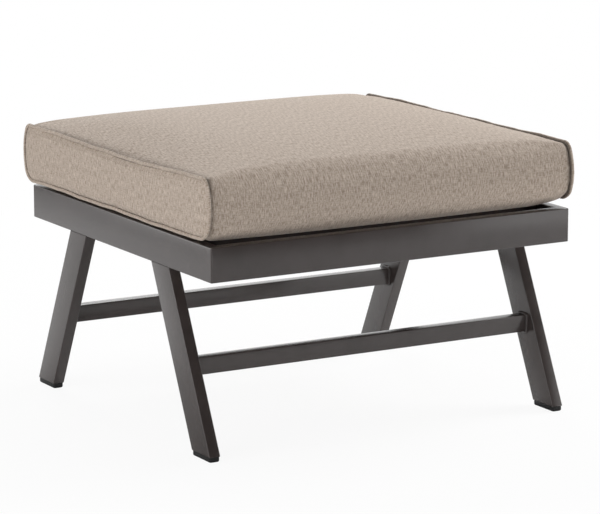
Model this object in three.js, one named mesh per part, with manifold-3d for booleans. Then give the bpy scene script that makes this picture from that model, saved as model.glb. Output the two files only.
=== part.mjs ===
// An outdoor ottoman: a welded frame of rectangular aluminium tube on four raked legs,
// with slats that carry one loose, wrap-around cushion.
// Lengths are in millimetres. X runs across the front, Y from front to rear, Z up.
// The origin lies on the ground, under the middle of the whole footprint.

import * as THREE from 'three';
import { mergeVertices } from 'three/addons/utils/BufferGeometryUtils.js';
import Module from 'manifold-3d';

const wasm = await Module();
wasm.setup();

// The rectangle of rails.
const frameWidth = 610;
const frameDepth = 582;
const railUnderside = 264;
const railHeight = 51;
const tubeThickness = 18;
const tubeWall = 1.6;
const mitreGap = 0.3;

// The legs: tubes of the rails' thickness that rake towards the frame's ends.
const legWidth = 49;
const legTopInset = 130;
const legFootInset = 8;

// The foot plugs.
const footHeight = 8;
const footInset = 0.9;
const footRounding = 2.5;
const footCornerRadius = 2;
const plugLength = 24;
const plugClearance = 0.3;

// The stretchers that join each pair of legs, and the weld round each end.
const stretcherHeight = 26;
const stretcherThickness = 18;
const stretcherMiddle = 124.5;
const weldLeg = 3.2;
const weldGap = 0.1;

// The slats and the two angles that they lie on.
const slatWidth = 60;
const slatThickness = 12;
const slatWall = 1.4;
const slatEndGap = 0.5;
const slatCount = 5;
const ledgeSize = 22;
const ledgeThickness = 2;
const ledgeEndGap = 5;

// The screws under the slats and the blind rivets that hold the angles.
const screwRadius = 2.1;
const screwHeadRadius = 4;
const screwHeadHeight = 2.4;
const screwTipLength = 3;
const screwBite = 8;
const rivetRadius = 2;
const rivetHeadRadius = 4;
const rivetHeadHeight = 1.3;
const rivetBulbRadius = 3;
const rivetBulbLength = 5;
const fastenerClearance = 0.3;

// The cushion, measured over its seams.
const cushionOverhang = 3.4;
const cushionDepth = 585;
const cushionSetback = 9;
const cushionSeamHeight = 93.7;
const cushionSeamLift = 5.3;
const cushionRest = 0.3;
const cushionCrown = 25;
const cushionSeamDip = 6;
const cushionFrontBow = 10.8;
const cushionFrontBulge = 4;
const cushionRearBow = 11;
const cushionSideBulge = 3;
const cushionDrawIn = 1.5;
const seamCornerRadius = 10;
const middleCornerRadius = 30;
const coverThickness = 1.5;
const coverGap = 0.4;
const pipingRadius = 2.4;
const pipingGap = 0.3;

// The zip in the cushion's rear face.
const zipSlotHeight = 24;
const zipLength = 500;
const zipRidgeHeight = 6;
const zipRidgeDepth = 1.2;
const zipStopLength = 4;
const zipStopDepth = 1.2;
const sliderLength = 10;
const sliderHeight = 11;
const sliderTop = 1.6;
const sliderClearance = 0.35;
const lugThickness = 1.2;
const lugHeight = 4.2;
const lugLength = 4.4;
const pinRadius = 0.9;
const pullEyeRadius = 1.9;
const pullPinClearance = 0.35;
const pullThickness = 1.4;
const pullNeckHeight = 4.6;
const pullGripHeight = 8;
const pullNeckLength = 9;
const pullLength = 27;

// One length by which every cutter runs past what it cuts.
const overrun = 20;

// Powers and steps of the cushion's surface.
const crownAlongPower = 2.7;
const crownAcrossPower = 5.2;
const undersidePower = 6;
const bowPower = 3;
const drawInPower = 4;
const sideBulgePower = 3;
const cornerSteps = 4;
const faceSteps = 4;
const topSteps = 10;
const stationCount = 13;
const panelRingShares = [1, 0.86, 0.62];
const pipingSides = 6;
const roundSides = 12;

const quarterTurn = Math.PI / 2;
const turn = Math.PI * 2;

// Places that follow from the sizes.
const railTop = railUnderside + railHeight;
const frameEnd = frameDepth / 2;
const frameSide = frameWidth / 2;
const innerSide = frameSide - tubeThickness;
const legHeight = railUnderside - footHeight;
const legRake = Math.atan2(legTopInset - legFootInset, legHeight);
const legRun = legWidth / Math.cos(legRake);
const wallRun = tubeWall / Math.cos(legRake);
const ledgeTop = railTop - slatThickness;
const slatSpace = frameDepth - 2 * tubeThickness - slatCount * slatWidth;
const slatPitch = slatWidth + slatSpace / (slatCount + 1);
const cushionHalfDepth = cushionDepth / 2;
const cushionHalfHeight = cushionSeamHeight / 2;
const cushionMiddle = railTop + cushionSeamLift + cushionHalfHeight;
const cushionHalfWidth = frameSide + cushionOverhang;
const coverEndSetback = pipingRadius + pipingGap;
const coreInset = coverThickness + coverGap;
const zipFace = cushionHalfDepth + cushionRearBow;
const pinStand = zipRidgeDepth + sliderClearance + sliderTop + lugHeight - pinRadius - lugThickness / 2;
const pullOutside = zipFace + pinStand + pullEyeRadius;

// The whole footprint runs from the cushion's fullest front to the outside of the zip pull.
const footprintMiddle = cushionSetback
  + (pullOutside - cushionHalfDepth - cushionFrontBow - cushionFrontBulge) / 2;

const finishes = {
  frame: { color: 0x5d5a5a, roughness: 0.48, metalness: 0.35 },
  slat: { color: 0x5d5a5a, roughness: 0.5, metalness: 0.35 },
  foot: { color: 0x161616, roughness: 0.55, metalness: 0 },
  steel: { color: 0xb4b4b2, roughness: 0.35, metalness: 1 },
  fabric: { color: 0xb5a89a, roughness: 0.95, metalness: 0 },
  foam: { color: 0xe6dfc8, roughness: 1, metalness: 0 },
  zip: { color: 0x6f655b, roughness: 0.7, metalness: 0 },
};

const root = new THREE.Group();
root.position.set(0, -footprintMiddle, 0);

function place(name, geometry, finish, parent = root) {
  const mesh = new THREE.Mesh(geometry, new THREE.MeshStandardMaterial(finishes[finish]));
  mesh.name = name;
  parent.add(mesh);
  return mesh;
}

// Booleans work on closed solids whose shared corners are merged.
function toSolid(geometry) {
  const bare = geometry.clone();
  bare.deleteAttribute('uv');
  bare.deleteAttribute('normal');
  const merged = mergeVertices(bare);
  return new wasm.Manifold(new wasm.Mesh({
    numProp: 3,
    vertProperties: new Float32Array(merged.attributes.position.array),
    triVerts: new Uint32Array(merged.index.array),
  }));
}

function toGeometry(solid) {
  const mesh = solid.getMesh();
  const geometry = new THREE.BufferGeometry();
  geometry.setAttribute('position', new THREE.BufferAttribute(mesh.vertProperties, 3));
  geometry.setIndex(new THREE.BufferAttribute(mesh.triVerts, 1));
  return geometry;
}

function cut(body, ...cutters) {
  let solid = toSolid(body);
  for (const cutter of cutters) {
    solid = solid.subtract(toSolid(cutter));
  }
  return toGeometry(solid);
}

function join(...bodies) {
  let solid = toSolid(bodies[0]);
  for (const body of bodies.slice(1)) {
    solid = solid.add(toSolid(body));
  }
  return toGeometry(solid);
}

// An outline that is pushed straight along one axis, from one place to another.
// Its points are [y, z] along X, [x, z] along Y and [x, y] along Z.
function prism(axis, points, from, to) {
  const shape = new THREE.Shape(points.map(([a, b]) => new THREE.Vector2(a, b)));
  const geometry = new THREE.ExtrudeGeometry(shape, { depth: to - from, bevelEnabled: false });
  geometry.translate(0, 0, axis === 'y' ? -to : from);
  const across = new THREE.Vector3(1, 0, 0);
  const along = new THREE.Vector3(0, 1, 0);
  const up = new THREE.Vector3(0, 0, 1);
  if (axis === 'x') {
    geometry.applyMatrix4(new THREE.Matrix4().makeBasis(along, up, across));
  }
  if (axis === 'y') {
    geometry.applyMatrix4(new THREE.Matrix4().makeBasis(across, up, along.negate()));
  }
  return geometry;
}

function rectangle(a0, b0, a1, b1) {
  return [[a0, b0], [a1, b0], [a1, b1], [a0, b1]];
}

function box(x0, y0, z0, x1, y1, z1) {
  return prism('z', rectangle(x0, y0, x1, y1), z0, z1);
}

// A turned piece about the Z axis: its profile is [radius, height] and closes on the axis.
function turned(profile) {
  const points = profile.map(([radius, height]) => new THREE.Vector2(radius, height));
  const geometry = new THREE.LatheGeometry(points, roundSides);
  geometry.rotateX(quarterTurn);
  return geometry;
}

// A surface through rings of equal point count. Open ends get a cap that zigzags across the
// ring, and ends that are joined close the rings into a loop.
function loft(rings, endsJoined = false) {
  const count = rings[0].length;
  const index = [];
  const spans = endsJoined ? rings.length : rings.length - 1;
  for (let i = 0; i < spans; i += 1) {
    const here = i * count;
    const next = ((i + 1) % rings.length) * count;
    for (let j = 0; j < count; j += 1) {
      const k = (j + 1) % count;
      index.push(here + j, here + k, next + k, here + j, next + k, next + j);
    }
  }
  if (!endsJoined) {
    const last = (rings.length - 1) * count;
    for (const [a, b, c] of capTriangles(count)) {
      index.push(c, b, a, last + a, last + b, last + c);
    }
  }
  return outwards(rings.flat(2), index);
}

// The triangles of a cap, all turning the way that the ring runs.
function capTriangles(count) {
  const triangles = [];
  for (let a = 0, d = count - 1; a + 1 < d; a += 1, d -= 1) {
    triangles.push([a, a + 1, d]);
    if (a + 1 < d - 1) {
      triangles.push([a + 1, d - 1, d]);
    }
  }
  return triangles;
}

// A thick sheet between two grids of equal size, closed along all four edges.
function sheet(outside, inside) {
  const rows = outside.length;
  const count = outside[0].length;
  const under = rows * count;
  const index = [];
  const quad = (a, b, c, d) => index.push(a, b, c, a, c, d);
  for (let i = 0; i + 1 < rows; i += 1) {
    const low = i * count;
    const high = low + count - 1;
    for (let a = low; a < high; a += 1) {
      const d = a + count;
      quad(a, a + 1, d + 1, d);
      index.push(under + a, under + d + 1, under + a + 1, under + a, under + d, under + d + 1);
    }
    quad(low, low + count, under + low + count, under + low);
    quad(high, under + high, under + high + count, high + count);
  }
  for (let a = 0; a + 1 < count; a += 1) {
    const end = under - count + a;
    quad(a, under + a, under + a + 1, a + 1);
    quad(end, end + 1, under + end + 1, under + end);
  }
  return outwards([...outside, ...inside].flat(2), index);
}

// Turns every triangle round if the solid's signed volume says that its faces point in.
function outwards(positions, index) {
  let volume = 0;
  const corner = (n) => new THREE.Vector3().fromArray(positions, n * 3);
  for (let i = 0; i < index.length; i += 3) {
    volume += corner(index[i]).dot(corner(index[i + 1]).cross(corner(index[i + 2])));
  }
  if (volume < 0) {
    index.reverse();
  }
  const geometry = new THREE.BufferGeometry();
  geometry.setAttribute('position', new THREE.Float32BufferAttribute(positions, 3));
  geometry.setIndex(index);
  return geometry;
}

// Front and rear rails run the full width, and their mitred ends meet the side rails.
function endRail(end) {
  const setback = mitreGap / Math.SQRT2;
  const outer = frameSide - setback;
  const inner = innerSide - setback;
  const outline = [
    [-outer, end * frameEnd],
    [outer, end * frameEnd],
    [inner, end * (frameEnd - tubeThickness)],
    [-inner, end * (frameEnd - tubeThickness)],
  ];
  const near = end * (frameEnd - tubeWall);
  const far = end * (frameEnd - tubeThickness + tubeWall);
  const bore = box(
    -frameSide - overrun, Math.min(near, far), railUnderside + tubeWall,
    frameSide + overrun, Math.max(near, far), railTop - tubeWall,
  );
  return cut(prism('z', outline, railUnderside, railTop), bore);
}

function sideRail(side) {
  const setback = mitreGap / Math.SQRT2;
  const outer = frameEnd - setback;
  const inner = frameEnd - tubeThickness - setback;
  const outline = [
    [side * frameSide, -outer],
    [side * frameSide, outer],
    [side * innerSide, inner],
    [side * innerSide, -inner],
  ];
  const near = side * (frameSide - tubeWall);
  const far = side * (innerSide + tubeWall);
  const bore = box(
    Math.min(near, far), -frameEnd - overrun, railUnderside + tubeWall,
    Math.max(near, far), frameEnd + overrun, railTop - tubeWall,
  );
  const holes = rivetPlaces().map((y) => rivetHole(side, y));
  return cut(prism('z', outline, railUnderside, railTop), bore, ...holes);
}

// How far a leg's near edge lies from the frame's end at a height.
function legInset(height) {
  return legFootInset + (legTopInset - legFootInset) * (height - footHeight) / legHeight;
}

// A four-sided outline along a leg, in [y, z], that is narrowed at both edges.
function legOutline(end, narrowed, bottom, top) {
  const edge = (height, across) => [end * (frameEnd - legInset(height) - across), height];
  return [
    edge(bottom, narrowed),
    edge(bottom, legRun - narrowed),
    edge(top, legRun - narrowed),
    edge(top, narrowed),
  ];
}

function prismAcross(points, side, outer, inner) {
  const a = side * outer;
  const b = side * inner;
  return prism('x', points, Math.min(a, b), Math.max(a, b));
}

function leg(side, end) {
  const tube = prismAcross(legOutline(end, 0, footHeight, railUnderside), side, frameSide, innerSide);
  const bore = prismAcross(
    legOutline(end, wallRun, footHeight - overrun, railUnderside + overrun),
    side, frameSide - tubeWall, innerSide + tubeWall,
  );
  return cut(tube, bore);
}

// The visible pad, with a rounded lower edge, and the shank that plugs the leg.
function foot(side, end) {
  const middleX = side * (frameSide - tubeThickness / 2);
  const middleY = end * (frameEnd - legFootInset - legRun / 2);
  const halfX = tubeThickness / 2 - footInset;
  const halfY = legRun / 2 - footInset;
  const levels = [
    [footRounding, 0],
    [footRounding * (1 - Math.SQRT1_2), footRounding * (1 - Math.SQRT1_2)],
    [0, footRounding],
    [0, footHeight],
  ];
  const rings = levels.map(([narrowed, height]) => padRing(halfX - narrowed, halfY - narrowed)
    .map(([x, y]) => [middleX + x, middleY + y, height]));
  const pad = loft(rings);
  const shank = prismAcross(
    legOutline(end, wallRun + plugClearance, footHeight - footRounding, footHeight + plugLength),
    side, frameSide - tubeWall - plugClearance, innerSide + tubeWall + plugClearance,
  );
  return join(pad, shank);
}

// A rectangle with rounded corners, as points about its middle.
function padRing(halfX, halfY) {
  const radius = footCornerRadius;
  const ring = [];
  const corners = [[1, 1], [-1, 1], [-1, -1], [1, -1]];
  corners.forEach(([sx, sy], n) => {
    for (let i = 0; i <= cornerSteps; i += 1) {
      const angle = quarterTurn * (n + i / cornerSteps);
      ring.push([
        sx * (halfX - radius) + radius * Math.cos(angle),
        sy * (halfY - radius) + radius * Math.sin(angle),
      ]);
    }
  });
  return ring;
}

// A stretcher crosses its legs on their middle line.
function stretcherY(end) {
  return end * (frameEnd - legInset(stretcherMiddle) - legRun / 2);
}

function stretcher(end) {
  const near = stretcherY(end) - stretcherThickness / 2;
  const far = near + stretcherThickness;
  const low = stretcherMiddle - stretcherHeight / 2;
  const high = low + stretcherHeight;
  const tube = box(-innerSide, near, low, innerSide, far, high);
  const bore = box(
    -innerSide - overrun, near + tubeWall, low + tubeWall,
    innerSide + overrun, far - tubeWall, high - tubeWall,
  );
  return cut(tube, bore);
}

// The rounded bead that runs round a stretcher's end, against the leg's inner face.
function weldBead(side, end) {
  const y = stretcherY(end);
  const face = side * (innerSide - weldGap);
  const corners = [[1, 1], [-1, 1], [-1, -1], [1, -1]];
  const section = [[0, 0], [0, weldLeg]];
  for (let i = 1; i < cornerSteps; i += 1) {
    const angle = quarterTurn * i / cornerSteps;
    section.push([weldLeg * Math.sin(angle), weldLeg * Math.cos(angle)]);
  }
  section.push([weldLeg, 0]);
  const rings = corners.map(([sy, sz]) => section.map(([along, out]) => [
    face - side * along,
    y + sy * (stretcherThickness / 2 + weldGap + out),
    stretcherMiddle + sz * (stretcherHeight / 2 + weldGap + out),
  ]));
  return loft(rings, true);
}

function slatPlace(number) {
  return -frameEnd + tubeThickness - slatWidth / 2 + number * slatPitch;
}

// A rivet sits halfway between each two slats.
function rivetPlaces() {
  return Array.from({ length: slatCount - 1 }, (_, n) => slatPlace(n + 1) + slatPitch / 2);
}

function rivetHeight() {
  return ledgeTop - ledgeThickness - (ledgeSize - ledgeThickness) / 2;
}

function rivetHole(side, y) {
  const radius = rivetRadius + fastenerClearance;
  const depth = rivetBulbLength;
  const hole = turned([[0, -overrun], [radius, -overrun], [radius, depth], [0, depth]]);
  hole.rotateY(side * quarterTurn);
  hole.translate(side * innerSide, y, rivetHeight());
  return hole;
}

// A screw stands halfway across the part of the angle's shelf that lies under its slat.
function screwX(side) {
  return side * (innerSide - (ledgeThickness + ledgeSize) / 2);
}

function screwHole(side, y) {
  const radius = screwRadius + fastenerClearance;
  const above = ledgeTop + slatThickness / 2;
  const below = ledgeTop - ledgeSize;
  const hole = turned([[0, below], [radius, below], [radius, above], [0, above]]);
  hole.translate(screwX(side), y, 0);
  return hole;
}

function ledge(side) {
  const wall = side * innerSide;
  const inward = (distance) => wall - side * distance;
  const outline = [
    [wall, ledgeTop],
    [inward(ledgeSize), ledgeTop],
    [inward(ledgeSize), ledgeTop - ledgeThickness],
    [inward(ledgeThickness), ledgeTop - ledgeThickness],
    [inward(ledgeThickness), ledgeTop - ledgeSize],
    [wall, ledgeTop - ledgeSize],
  ];
  const reach = frameEnd - tubeThickness - ledgeEndGap;
  const holes = rivetPlaces().map((y) => rivetHole(side, y));
  for (let n = 1; n <= slatCount; n += 1) {
    holes.push(screwHole(side, slatPlace(n)));
  }
  return cut(prism('y', outline, -reach, reach), ...holes);
}

function slat(number) {
  const y = slatPlace(number);
  const near = y - slatWidth / 2;
  const far = y + slatWidth / 2;
  const reach = innerSide - slatEndGap;
  const tube = box(-reach, near, ledgeTop, reach, far, railTop);
  const bore = box(
    -reach - overrun, near + slatWall, ledgeTop + slatWall,
    reach + overrun, far - slatWall, railTop - slatWall,
  );
  return cut(tube, bore, screwHole(-1, y), screwHole(1, y));
}

// A pan-head screw from below, through the angle and the slat's lower wall.
function slatScrew() {
  const shelf = ledgeTop - ledgeThickness;
  return turned([
    [0, shelf - screwHeadHeight],
    [screwHeadRadius * Math.SQRT1_2, shelf - screwHeadHeight],
    [screwHeadRadius, shelf - screwHeadHeight / 2],
    [screwHeadRadius, shelf],
    [screwRadius, shelf],
    [screwRadius, shelf + screwBite - screwTipLength],
    [0, shelf + screwBite],
  ]);
}

// A blind rivet along Z: its domed head outside the angle and its bulb inside the rail.
function ledgeRivet() {
  const grip = ledgeThickness + tubeWall;
  return turned([
    [0, -rivetHeadHeight],
    [rivetHeadRadius * Math.SQRT1_2, -rivetHeadHeight],
    [rivetHeadRadius, -rivetHeadHeight / 4],
    [rivetHeadRadius, 0],
    [rivetRadius, 0],
    [rivetRadius, grip],
    [rivetBulbRadius, grip + rivetBulbLength / 4],
    [rivetBulbRadius, grip + rivetBulbLength * 3 / 4],
    [0, grip + rivetBulbLength],
  ]);
}

// The cushion's outline in a plane square to X, as [y, z] about its middle: up the rear face
// from the zip slot's upper edge, forward over the top and back underneath.
function cushionOutline(inset, radius, slot) {
  const halfDepth = cushionHalfDepth - inset;
  const halfHeight = cushionHalfHeight - inset;
  const bend = radius - inset;
  const ring = [];
  const straight = (from, to, steps) => {
    for (let i = 0; i < steps; i += 1) {
      const share = i / steps;
      ring.push([from[0] + (to[0] - from[0]) * share, from[1] + (to[1] - from[1]) * share]);
    }
  };
  const corner = (sy, sz, start) => {
    for (let i = 0; i < cornerSteps; i += 1) {
      const angle = start + quarterTurn * i / cornerSteps;
      ring.push([
        sy * (halfDepth - bend) + bend * Math.cos(angle),
        sz * (halfHeight - bend) + bend * Math.sin(angle),
      ]);
    }
  };
  straight([halfDepth, slot], [halfDepth, halfHeight - bend], faceSteps / 2);
  corner(1, 1, 0);
  straight([halfDepth - bend, halfHeight], [bend - halfDepth, halfHeight], topSteps);
  corner(-1, 1, quarterTurn);
  straight([-halfDepth, halfHeight - bend], [-halfDepth, bend - halfHeight], faceSteps);
  corner(-1, -1, 2 * quarterTurn);
  straight([bend - halfDepth, -halfHeight], [halfDepth - bend, -halfHeight], topSteps);
  corner(1, -1, 3 * quarterTurn);
  straight([halfDepth, bend - halfHeight], [halfDepth, -slot], faceSteps / 2);
  if (slot > 0) {
    ring.push([halfDepth, -slot]);
  }
  return ring;
}

// Gives an outline point its crown, bows and drawn-in seam. across runs from -1 to 1.
function filled(across, [y, z], inset, halfWidth) {
  const v = y / (cushionHalfDepth - inset);
  const w = z / (cushionHalfHeight - inset);
  const fullness = 1 - Math.abs(across) ** crownAcrossPower;
  const crown = cushionCrown * fullness * (1 - Math.abs(v) ** crownAlongPower);
  const dip = cushionSeamDip * (1 - fullness) * (1 - v * v);
  const flatness = (1 - Math.abs(across) ** undersidePower) * (1 - Math.abs(v) ** undersidePower);
  const sink = (cushionSeamLift - cushionRest) * flatness;
  const bow = v < 0 ? cushionFrontBow + cushionFrontBulge * fullness : cushionRearBow;
  const drawIn = cushionDrawIn * (1 - Math.abs(v) ** drawInPower);
  return [
    across * (halfWidth - drawIn),
    cushionSetback + y + Math.sign(v) * Math.abs(v) ** bowPower * bow * (1 - w * w),
    cushionMiddle + z + (w > 0 ? (crown - dip) * w : sink * w),
  ];
}

// The stations across the cushion lie closer together towards its sides.
function stations() {
  return Array.from({ length: stationCount }, (_, i) => {
    const share = 2 * i / (stationCount - 1) - 1;
    return Math.sin(quarterTurn * share);
  });
}

function middleRadius(across) {
  const fullness = 1 - Math.abs(across) ** crownAcrossPower;
  return seamCornerRadius + (middleCornerRadius - seamCornerRadius) * fullness;
}

// One piece of cloth from the zip's upper edge over the top, front and underside to its lower edge.
function coverWrap() {
  const halfWidth = cushionHalfWidth - coverEndSetback;
  const slot = zipSlotHeight / 2;
  const skin = (inset) => stations().map((across) => cushionOutline(inset, middleRadius(across), slot)
    .map((point) => filled(across, point, inset, halfWidth)));
  return sheet(skin(0), skin(coverThickness));
}

// One ring of a side panel: the seam outline drawn towards the panel's middle by a share.
function panelRing(side, inset, share, outward) {
  const rim = cushionOutline(inset, seamCornerRadius, 0)
    .map((point) => filled(side, point, inset, cushionHalfWidth));
  const swell = cushionSideBulge * (1 - share ** sideBulgePower);
  return rim.map(([x, y, z]) => [
    x + side * (swell + outward - cushionDrawIn * (1 - share)),
    cushionSetback + (y - cushionSetback) * share,
    cushionMiddle + (z - cushionMiddle) * share,
  ]);
}

function coverSide(side) {
  const inset = coverThickness + pipingRadius + pipingGap;
  const outside = panelRingShares.map((share) => panelRing(side, inset, share, coverThickness / 2));
  const inside = panelRingShares.map((share) => panelRing(side, inset, share, -coverThickness / 2));
  return loft([...outside.reverse(), ...inside]);
}

// The piping is a round cord that follows the whole seam of a side panel.
function piping(side) {
  const line = panelRing(side, coverThickness, 1, 0);
  const rings = line.map((point, i) => {
    const before = line.at(i - 1);
    const after = line[(i + 1) % line.length];
    const tangent = new THREE.Vector2(after[1] - before[1], after[2] - before[2]).normalize();
    const ring = [];
    for (let n = 0; n < pipingSides; n += 1) {
      const angle = turn * n / pipingSides;
      const out = pipingRadius * Math.cos(angle);
      ring.push([
        point[0] + pipingRadius * Math.sin(angle),
        point[1] + tangent.y * out,
        point[2] - tangent.x * out,
      ]);
    }
    return ring;
  });
  return loft(rings, true);
}

// The foam fills the cover and is chamfered along its sides to clear the piping.
function foamCore() {
  const chamfer = pipingRadius + pipingGap + coverGap;
  const face = -coverThickness / 2 - coverGap;
  const sideInset = coverThickness + chamfer + coverGap;
  const end = (side) => panelRingShares.map((share) => panelRing(side, sideInset, share, face));
  const across = stations().map((u) => cushionOutline(coreInset, middleRadius(u), 0)
    .map((point) => filled(u, point, coreInset, cushionHalfWidth - chamfer)));
  return loft([...end(-1).reverse(), ...across, ...end(1)]);
}

// The zip's tape closes the slot, with the coil standing along its middle and a stop at each end.
function zipTape() {
  const reach = cushionHalfWidth - coverEndSetback - pipingGap;
  const face = cushionSetback + zipFace;
  const halfSlot = zipSlotHeight / 2 - pipingGap;
  const halfRidge = zipRidgeHeight / 2;
  const tape = box(
    -reach, face - coverThickness, cushionMiddle - halfSlot,
    reach, face, cushionMiddle + halfSlot,
  );
  const coil = box(
    -zipLength / 2, face - coverThickness / 2, cushionMiddle - halfRidge,
    zipLength / 2, face + zipRidgeDepth, cushionMiddle + halfRidge,
  );
  const stop = (from, to) => box(
    from, face - coverThickness / 2, cushionMiddle - halfRidge,
    to, face + zipRidgeDepth + zipStopDepth, cushionMiddle + halfRidge,
  );
  return join(
    tape, coil,
    stop(-zipLength / 2, zipStopLength - zipLength / 2),
    stop(zipLength / 2 - zipStopLength, zipLength / 2),
  );
}

// At rest the zip is closed and its slider stands against the left stop.
const sliderX = -zipLength / 2 + zipStopLength + sliderClearance + sliderLength / 2;
const pinY = cushionSetback + zipFace + pinStand;

// The slider straddles the coil, and two lugs on its back carry the pull's pin.
function zipSlider() {
  const face = cushionSetback + zipFace;
  const halfHeight = sliderHeight / 2;
  const halfChannel = zipRidgeHeight / 2 + sliderClearance;
  const ridgeTop = face + zipRidgeDepth;
  const back = ridgeTop + sliderClearance + sliderTop;
  const lugGap = pullNeckHeight / 2 + pullPinClearance;
  const channel = [
    [face + sliderClearance, cushionMiddle - halfHeight],
    [back, cushionMiddle - halfHeight],
    [back, cushionMiddle + halfHeight],
    [face + sliderClearance, cushionMiddle + halfHeight],
    [face + sliderClearance, cushionMiddle + halfChannel],
    [ridgeTop + sliderClearance, cushionMiddle + halfChannel],
    [ridgeTop + sliderClearance, cushionMiddle - halfChannel],
    [face + sliderClearance, cushionMiddle - halfChannel],
  ];
  const body = prism('x', channel, sliderX - sliderLength / 2, sliderX + sliderLength / 2);
  const lug = (z) => box(
    sliderX - lugLength / 2, back - sliderTop / 2, z,
    sliderX + lugLength / 2, back + lugHeight, z + lugThickness,
  );
  const pin = turned([
    [0, -lugGap - lugThickness / 2], [pinRadius, -lugGap - lugThickness / 2],
    [pinRadius, lugGap + lugThickness / 2], [0, lugGap + lugThickness / 2],
  ]);
  pin.translate(sliderX, pinY, cushionMiddle);
  return join(body, lug(cushionMiddle + lugGap), lug(cushionMiddle - lugGap - lugThickness), pin);
}

// The pull hangs on the slider's pin and lies along the zip.
function zipPull() {
  const halfNeck = pullNeckHeight / 2;
  const halfGrip = pullGripHeight / 2;
  const bore = pinRadius + pullPinClearance;
  const eye = turned([
    [0, -halfNeck], [pullEyeRadius, -halfNeck], [pullEyeRadius, halfNeck], [0, halfNeck],
  ]);
  eye.translate(sliderX, pinY, cushionMiddle);
  const neck = box(
    sliderX - pullNeckLength, pinY - pullThickness / 2, cushionMiddle - halfNeck,
    sliderX, pinY + pullThickness / 2, cushionMiddle + halfNeck,
  );
  const grip = box(
    sliderX - pullLength, pinY - pullThickness / 2, cushionMiddle - halfGrip,
    sliderX - pullNeckLength + pullThickness / 2, pinY + pullThickness / 2, cushionMiddle + halfGrip,
  );
  const hole = turned([[0, -overrun], [bore, -overrun], [bore, overrun], [0, overrun]]);
  hole.translate(sliderX, pinY, cushionMiddle);
  return cut(join(eye, neck, grip), hole);
}

place('rail_front', endRail(-1), 'frame');
place('rail_rear', endRail(1), 'frame');

for (const [side, sideName] of [[-1, 'left'], [1, 'right']]) {
  place(`rail_${sideName}`, sideRail(side), 'frame');
  place(`slat_ledge_${sideName}`, ledge(side), 'slat');
  for (const [end, endName] of [[-1, 'front'], [1, 'rear']]) {
    place(`leg_${endName}_${sideName}`, leg(side, end), 'frame');
    place(`foot_${endName}_${sideName}`, foot(side, end), 'foot');
    place(`weld_${endName}_${sideName}`, weldBead(side, end), 'frame');
  }
  for (let n = 1; n <= slatCount; n += 1) {
    const screw = place(`slat_screw_${sideName}_${n}`, slatScrew(), 'steel');
    screw.position.set(screwX(side), slatPlace(n), 0);
  }
  rivetPlaces().forEach((y, n) => {
    const rivet = place(`ledge_rivet_${sideName}_${n + 1}`, ledgeRivet(), 'steel');
    rivet.rotation.y = side * quarterTurn;
    rivet.position.set(side * (innerSide - ledgeThickness), y, rivetHeight());
  });
  place(`cover_side_${sideName}`, coverSide(side), 'fabric');
  place(`cover_piping_${sideName}`, piping(side), 'fabric');
}

place('stretcher_front', stretcher(-1), 'frame');
place('stretcher_rear', stretcher(1), 'frame');

for (let n = 1; n <= slatCount; n += 1) {
  place(`slat_${n}`, slat(n), 'slat');
}

place('cover_wrap', coverWrap(), 'fabric');
place('foam_core', foamCore(), 'foam');
place('zip_tape', zipTape(), 'zip');
place('zip_slider', zipSlider(), 'steel');
place('zip_pull', zipPull(), 'steel');

export default root;
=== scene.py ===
# %% [markdown]
# # An outdoor ottoman, dressed for its picture
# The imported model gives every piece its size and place. This script puts the looks on that frame:
# rounded tubes under powder coat, a padded cushion in a woven cover, welds, feet, screws and a zip.
# All lengths are metres. X runs across the front, Y from front to rear, Z up.

# %% Load the frame
import math
from contextlib import contextmanager

import bmesh
import bpy
import numpy as np
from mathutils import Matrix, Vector


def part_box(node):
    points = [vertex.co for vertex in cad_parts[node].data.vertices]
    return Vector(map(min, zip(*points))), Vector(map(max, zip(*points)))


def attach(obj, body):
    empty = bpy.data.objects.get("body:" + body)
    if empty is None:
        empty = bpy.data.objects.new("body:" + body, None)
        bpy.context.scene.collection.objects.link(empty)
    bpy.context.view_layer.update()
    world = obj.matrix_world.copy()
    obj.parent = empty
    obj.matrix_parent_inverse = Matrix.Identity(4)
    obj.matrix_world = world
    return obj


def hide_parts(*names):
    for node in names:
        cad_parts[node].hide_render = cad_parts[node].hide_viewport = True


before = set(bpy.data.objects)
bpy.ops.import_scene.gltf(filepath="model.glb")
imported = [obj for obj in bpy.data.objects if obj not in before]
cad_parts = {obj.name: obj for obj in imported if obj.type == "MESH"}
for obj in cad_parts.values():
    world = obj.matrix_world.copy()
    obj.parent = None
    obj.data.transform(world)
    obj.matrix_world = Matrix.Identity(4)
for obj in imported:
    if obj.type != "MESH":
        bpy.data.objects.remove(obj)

scene = bpy.context.scene
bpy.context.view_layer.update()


def add_to_scene(name, data):
    thing = bpy.data.objects.new(name, data)
    scene.collection.objects.link(thing)
    return thing


def new_object(name, points=(), faces=(), material=None, edges=()):
    mesh = bpy.data.meshes.new(name)
    mesh.from_pydata([tuple(p) for p in points], edges, faces)
    if material:
        mesh.materials.append(material)
    mesh.polygons.foreach_set("use_smooth", [True] * len(mesh.polygons))
    return add_to_scene(name, mesh)

# %% [markdown]
# ## The camera
# The picture was taken with a long lens from the front left, a little above the seat. The angles
# come from the edges of the frame: its rails give the turn and the tilt, and the way they close in
# gives the distance.

# %% Camera
CAMERA_PLACE = (-2.4040, -4.1864, 1.2071)
CAMERA_TILT_DOWN = math.radians(11.58)
CAMERA_TURN = math.radians(-30.008)
LENS_MM = 192.2
SENSOR_MM = 36

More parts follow.
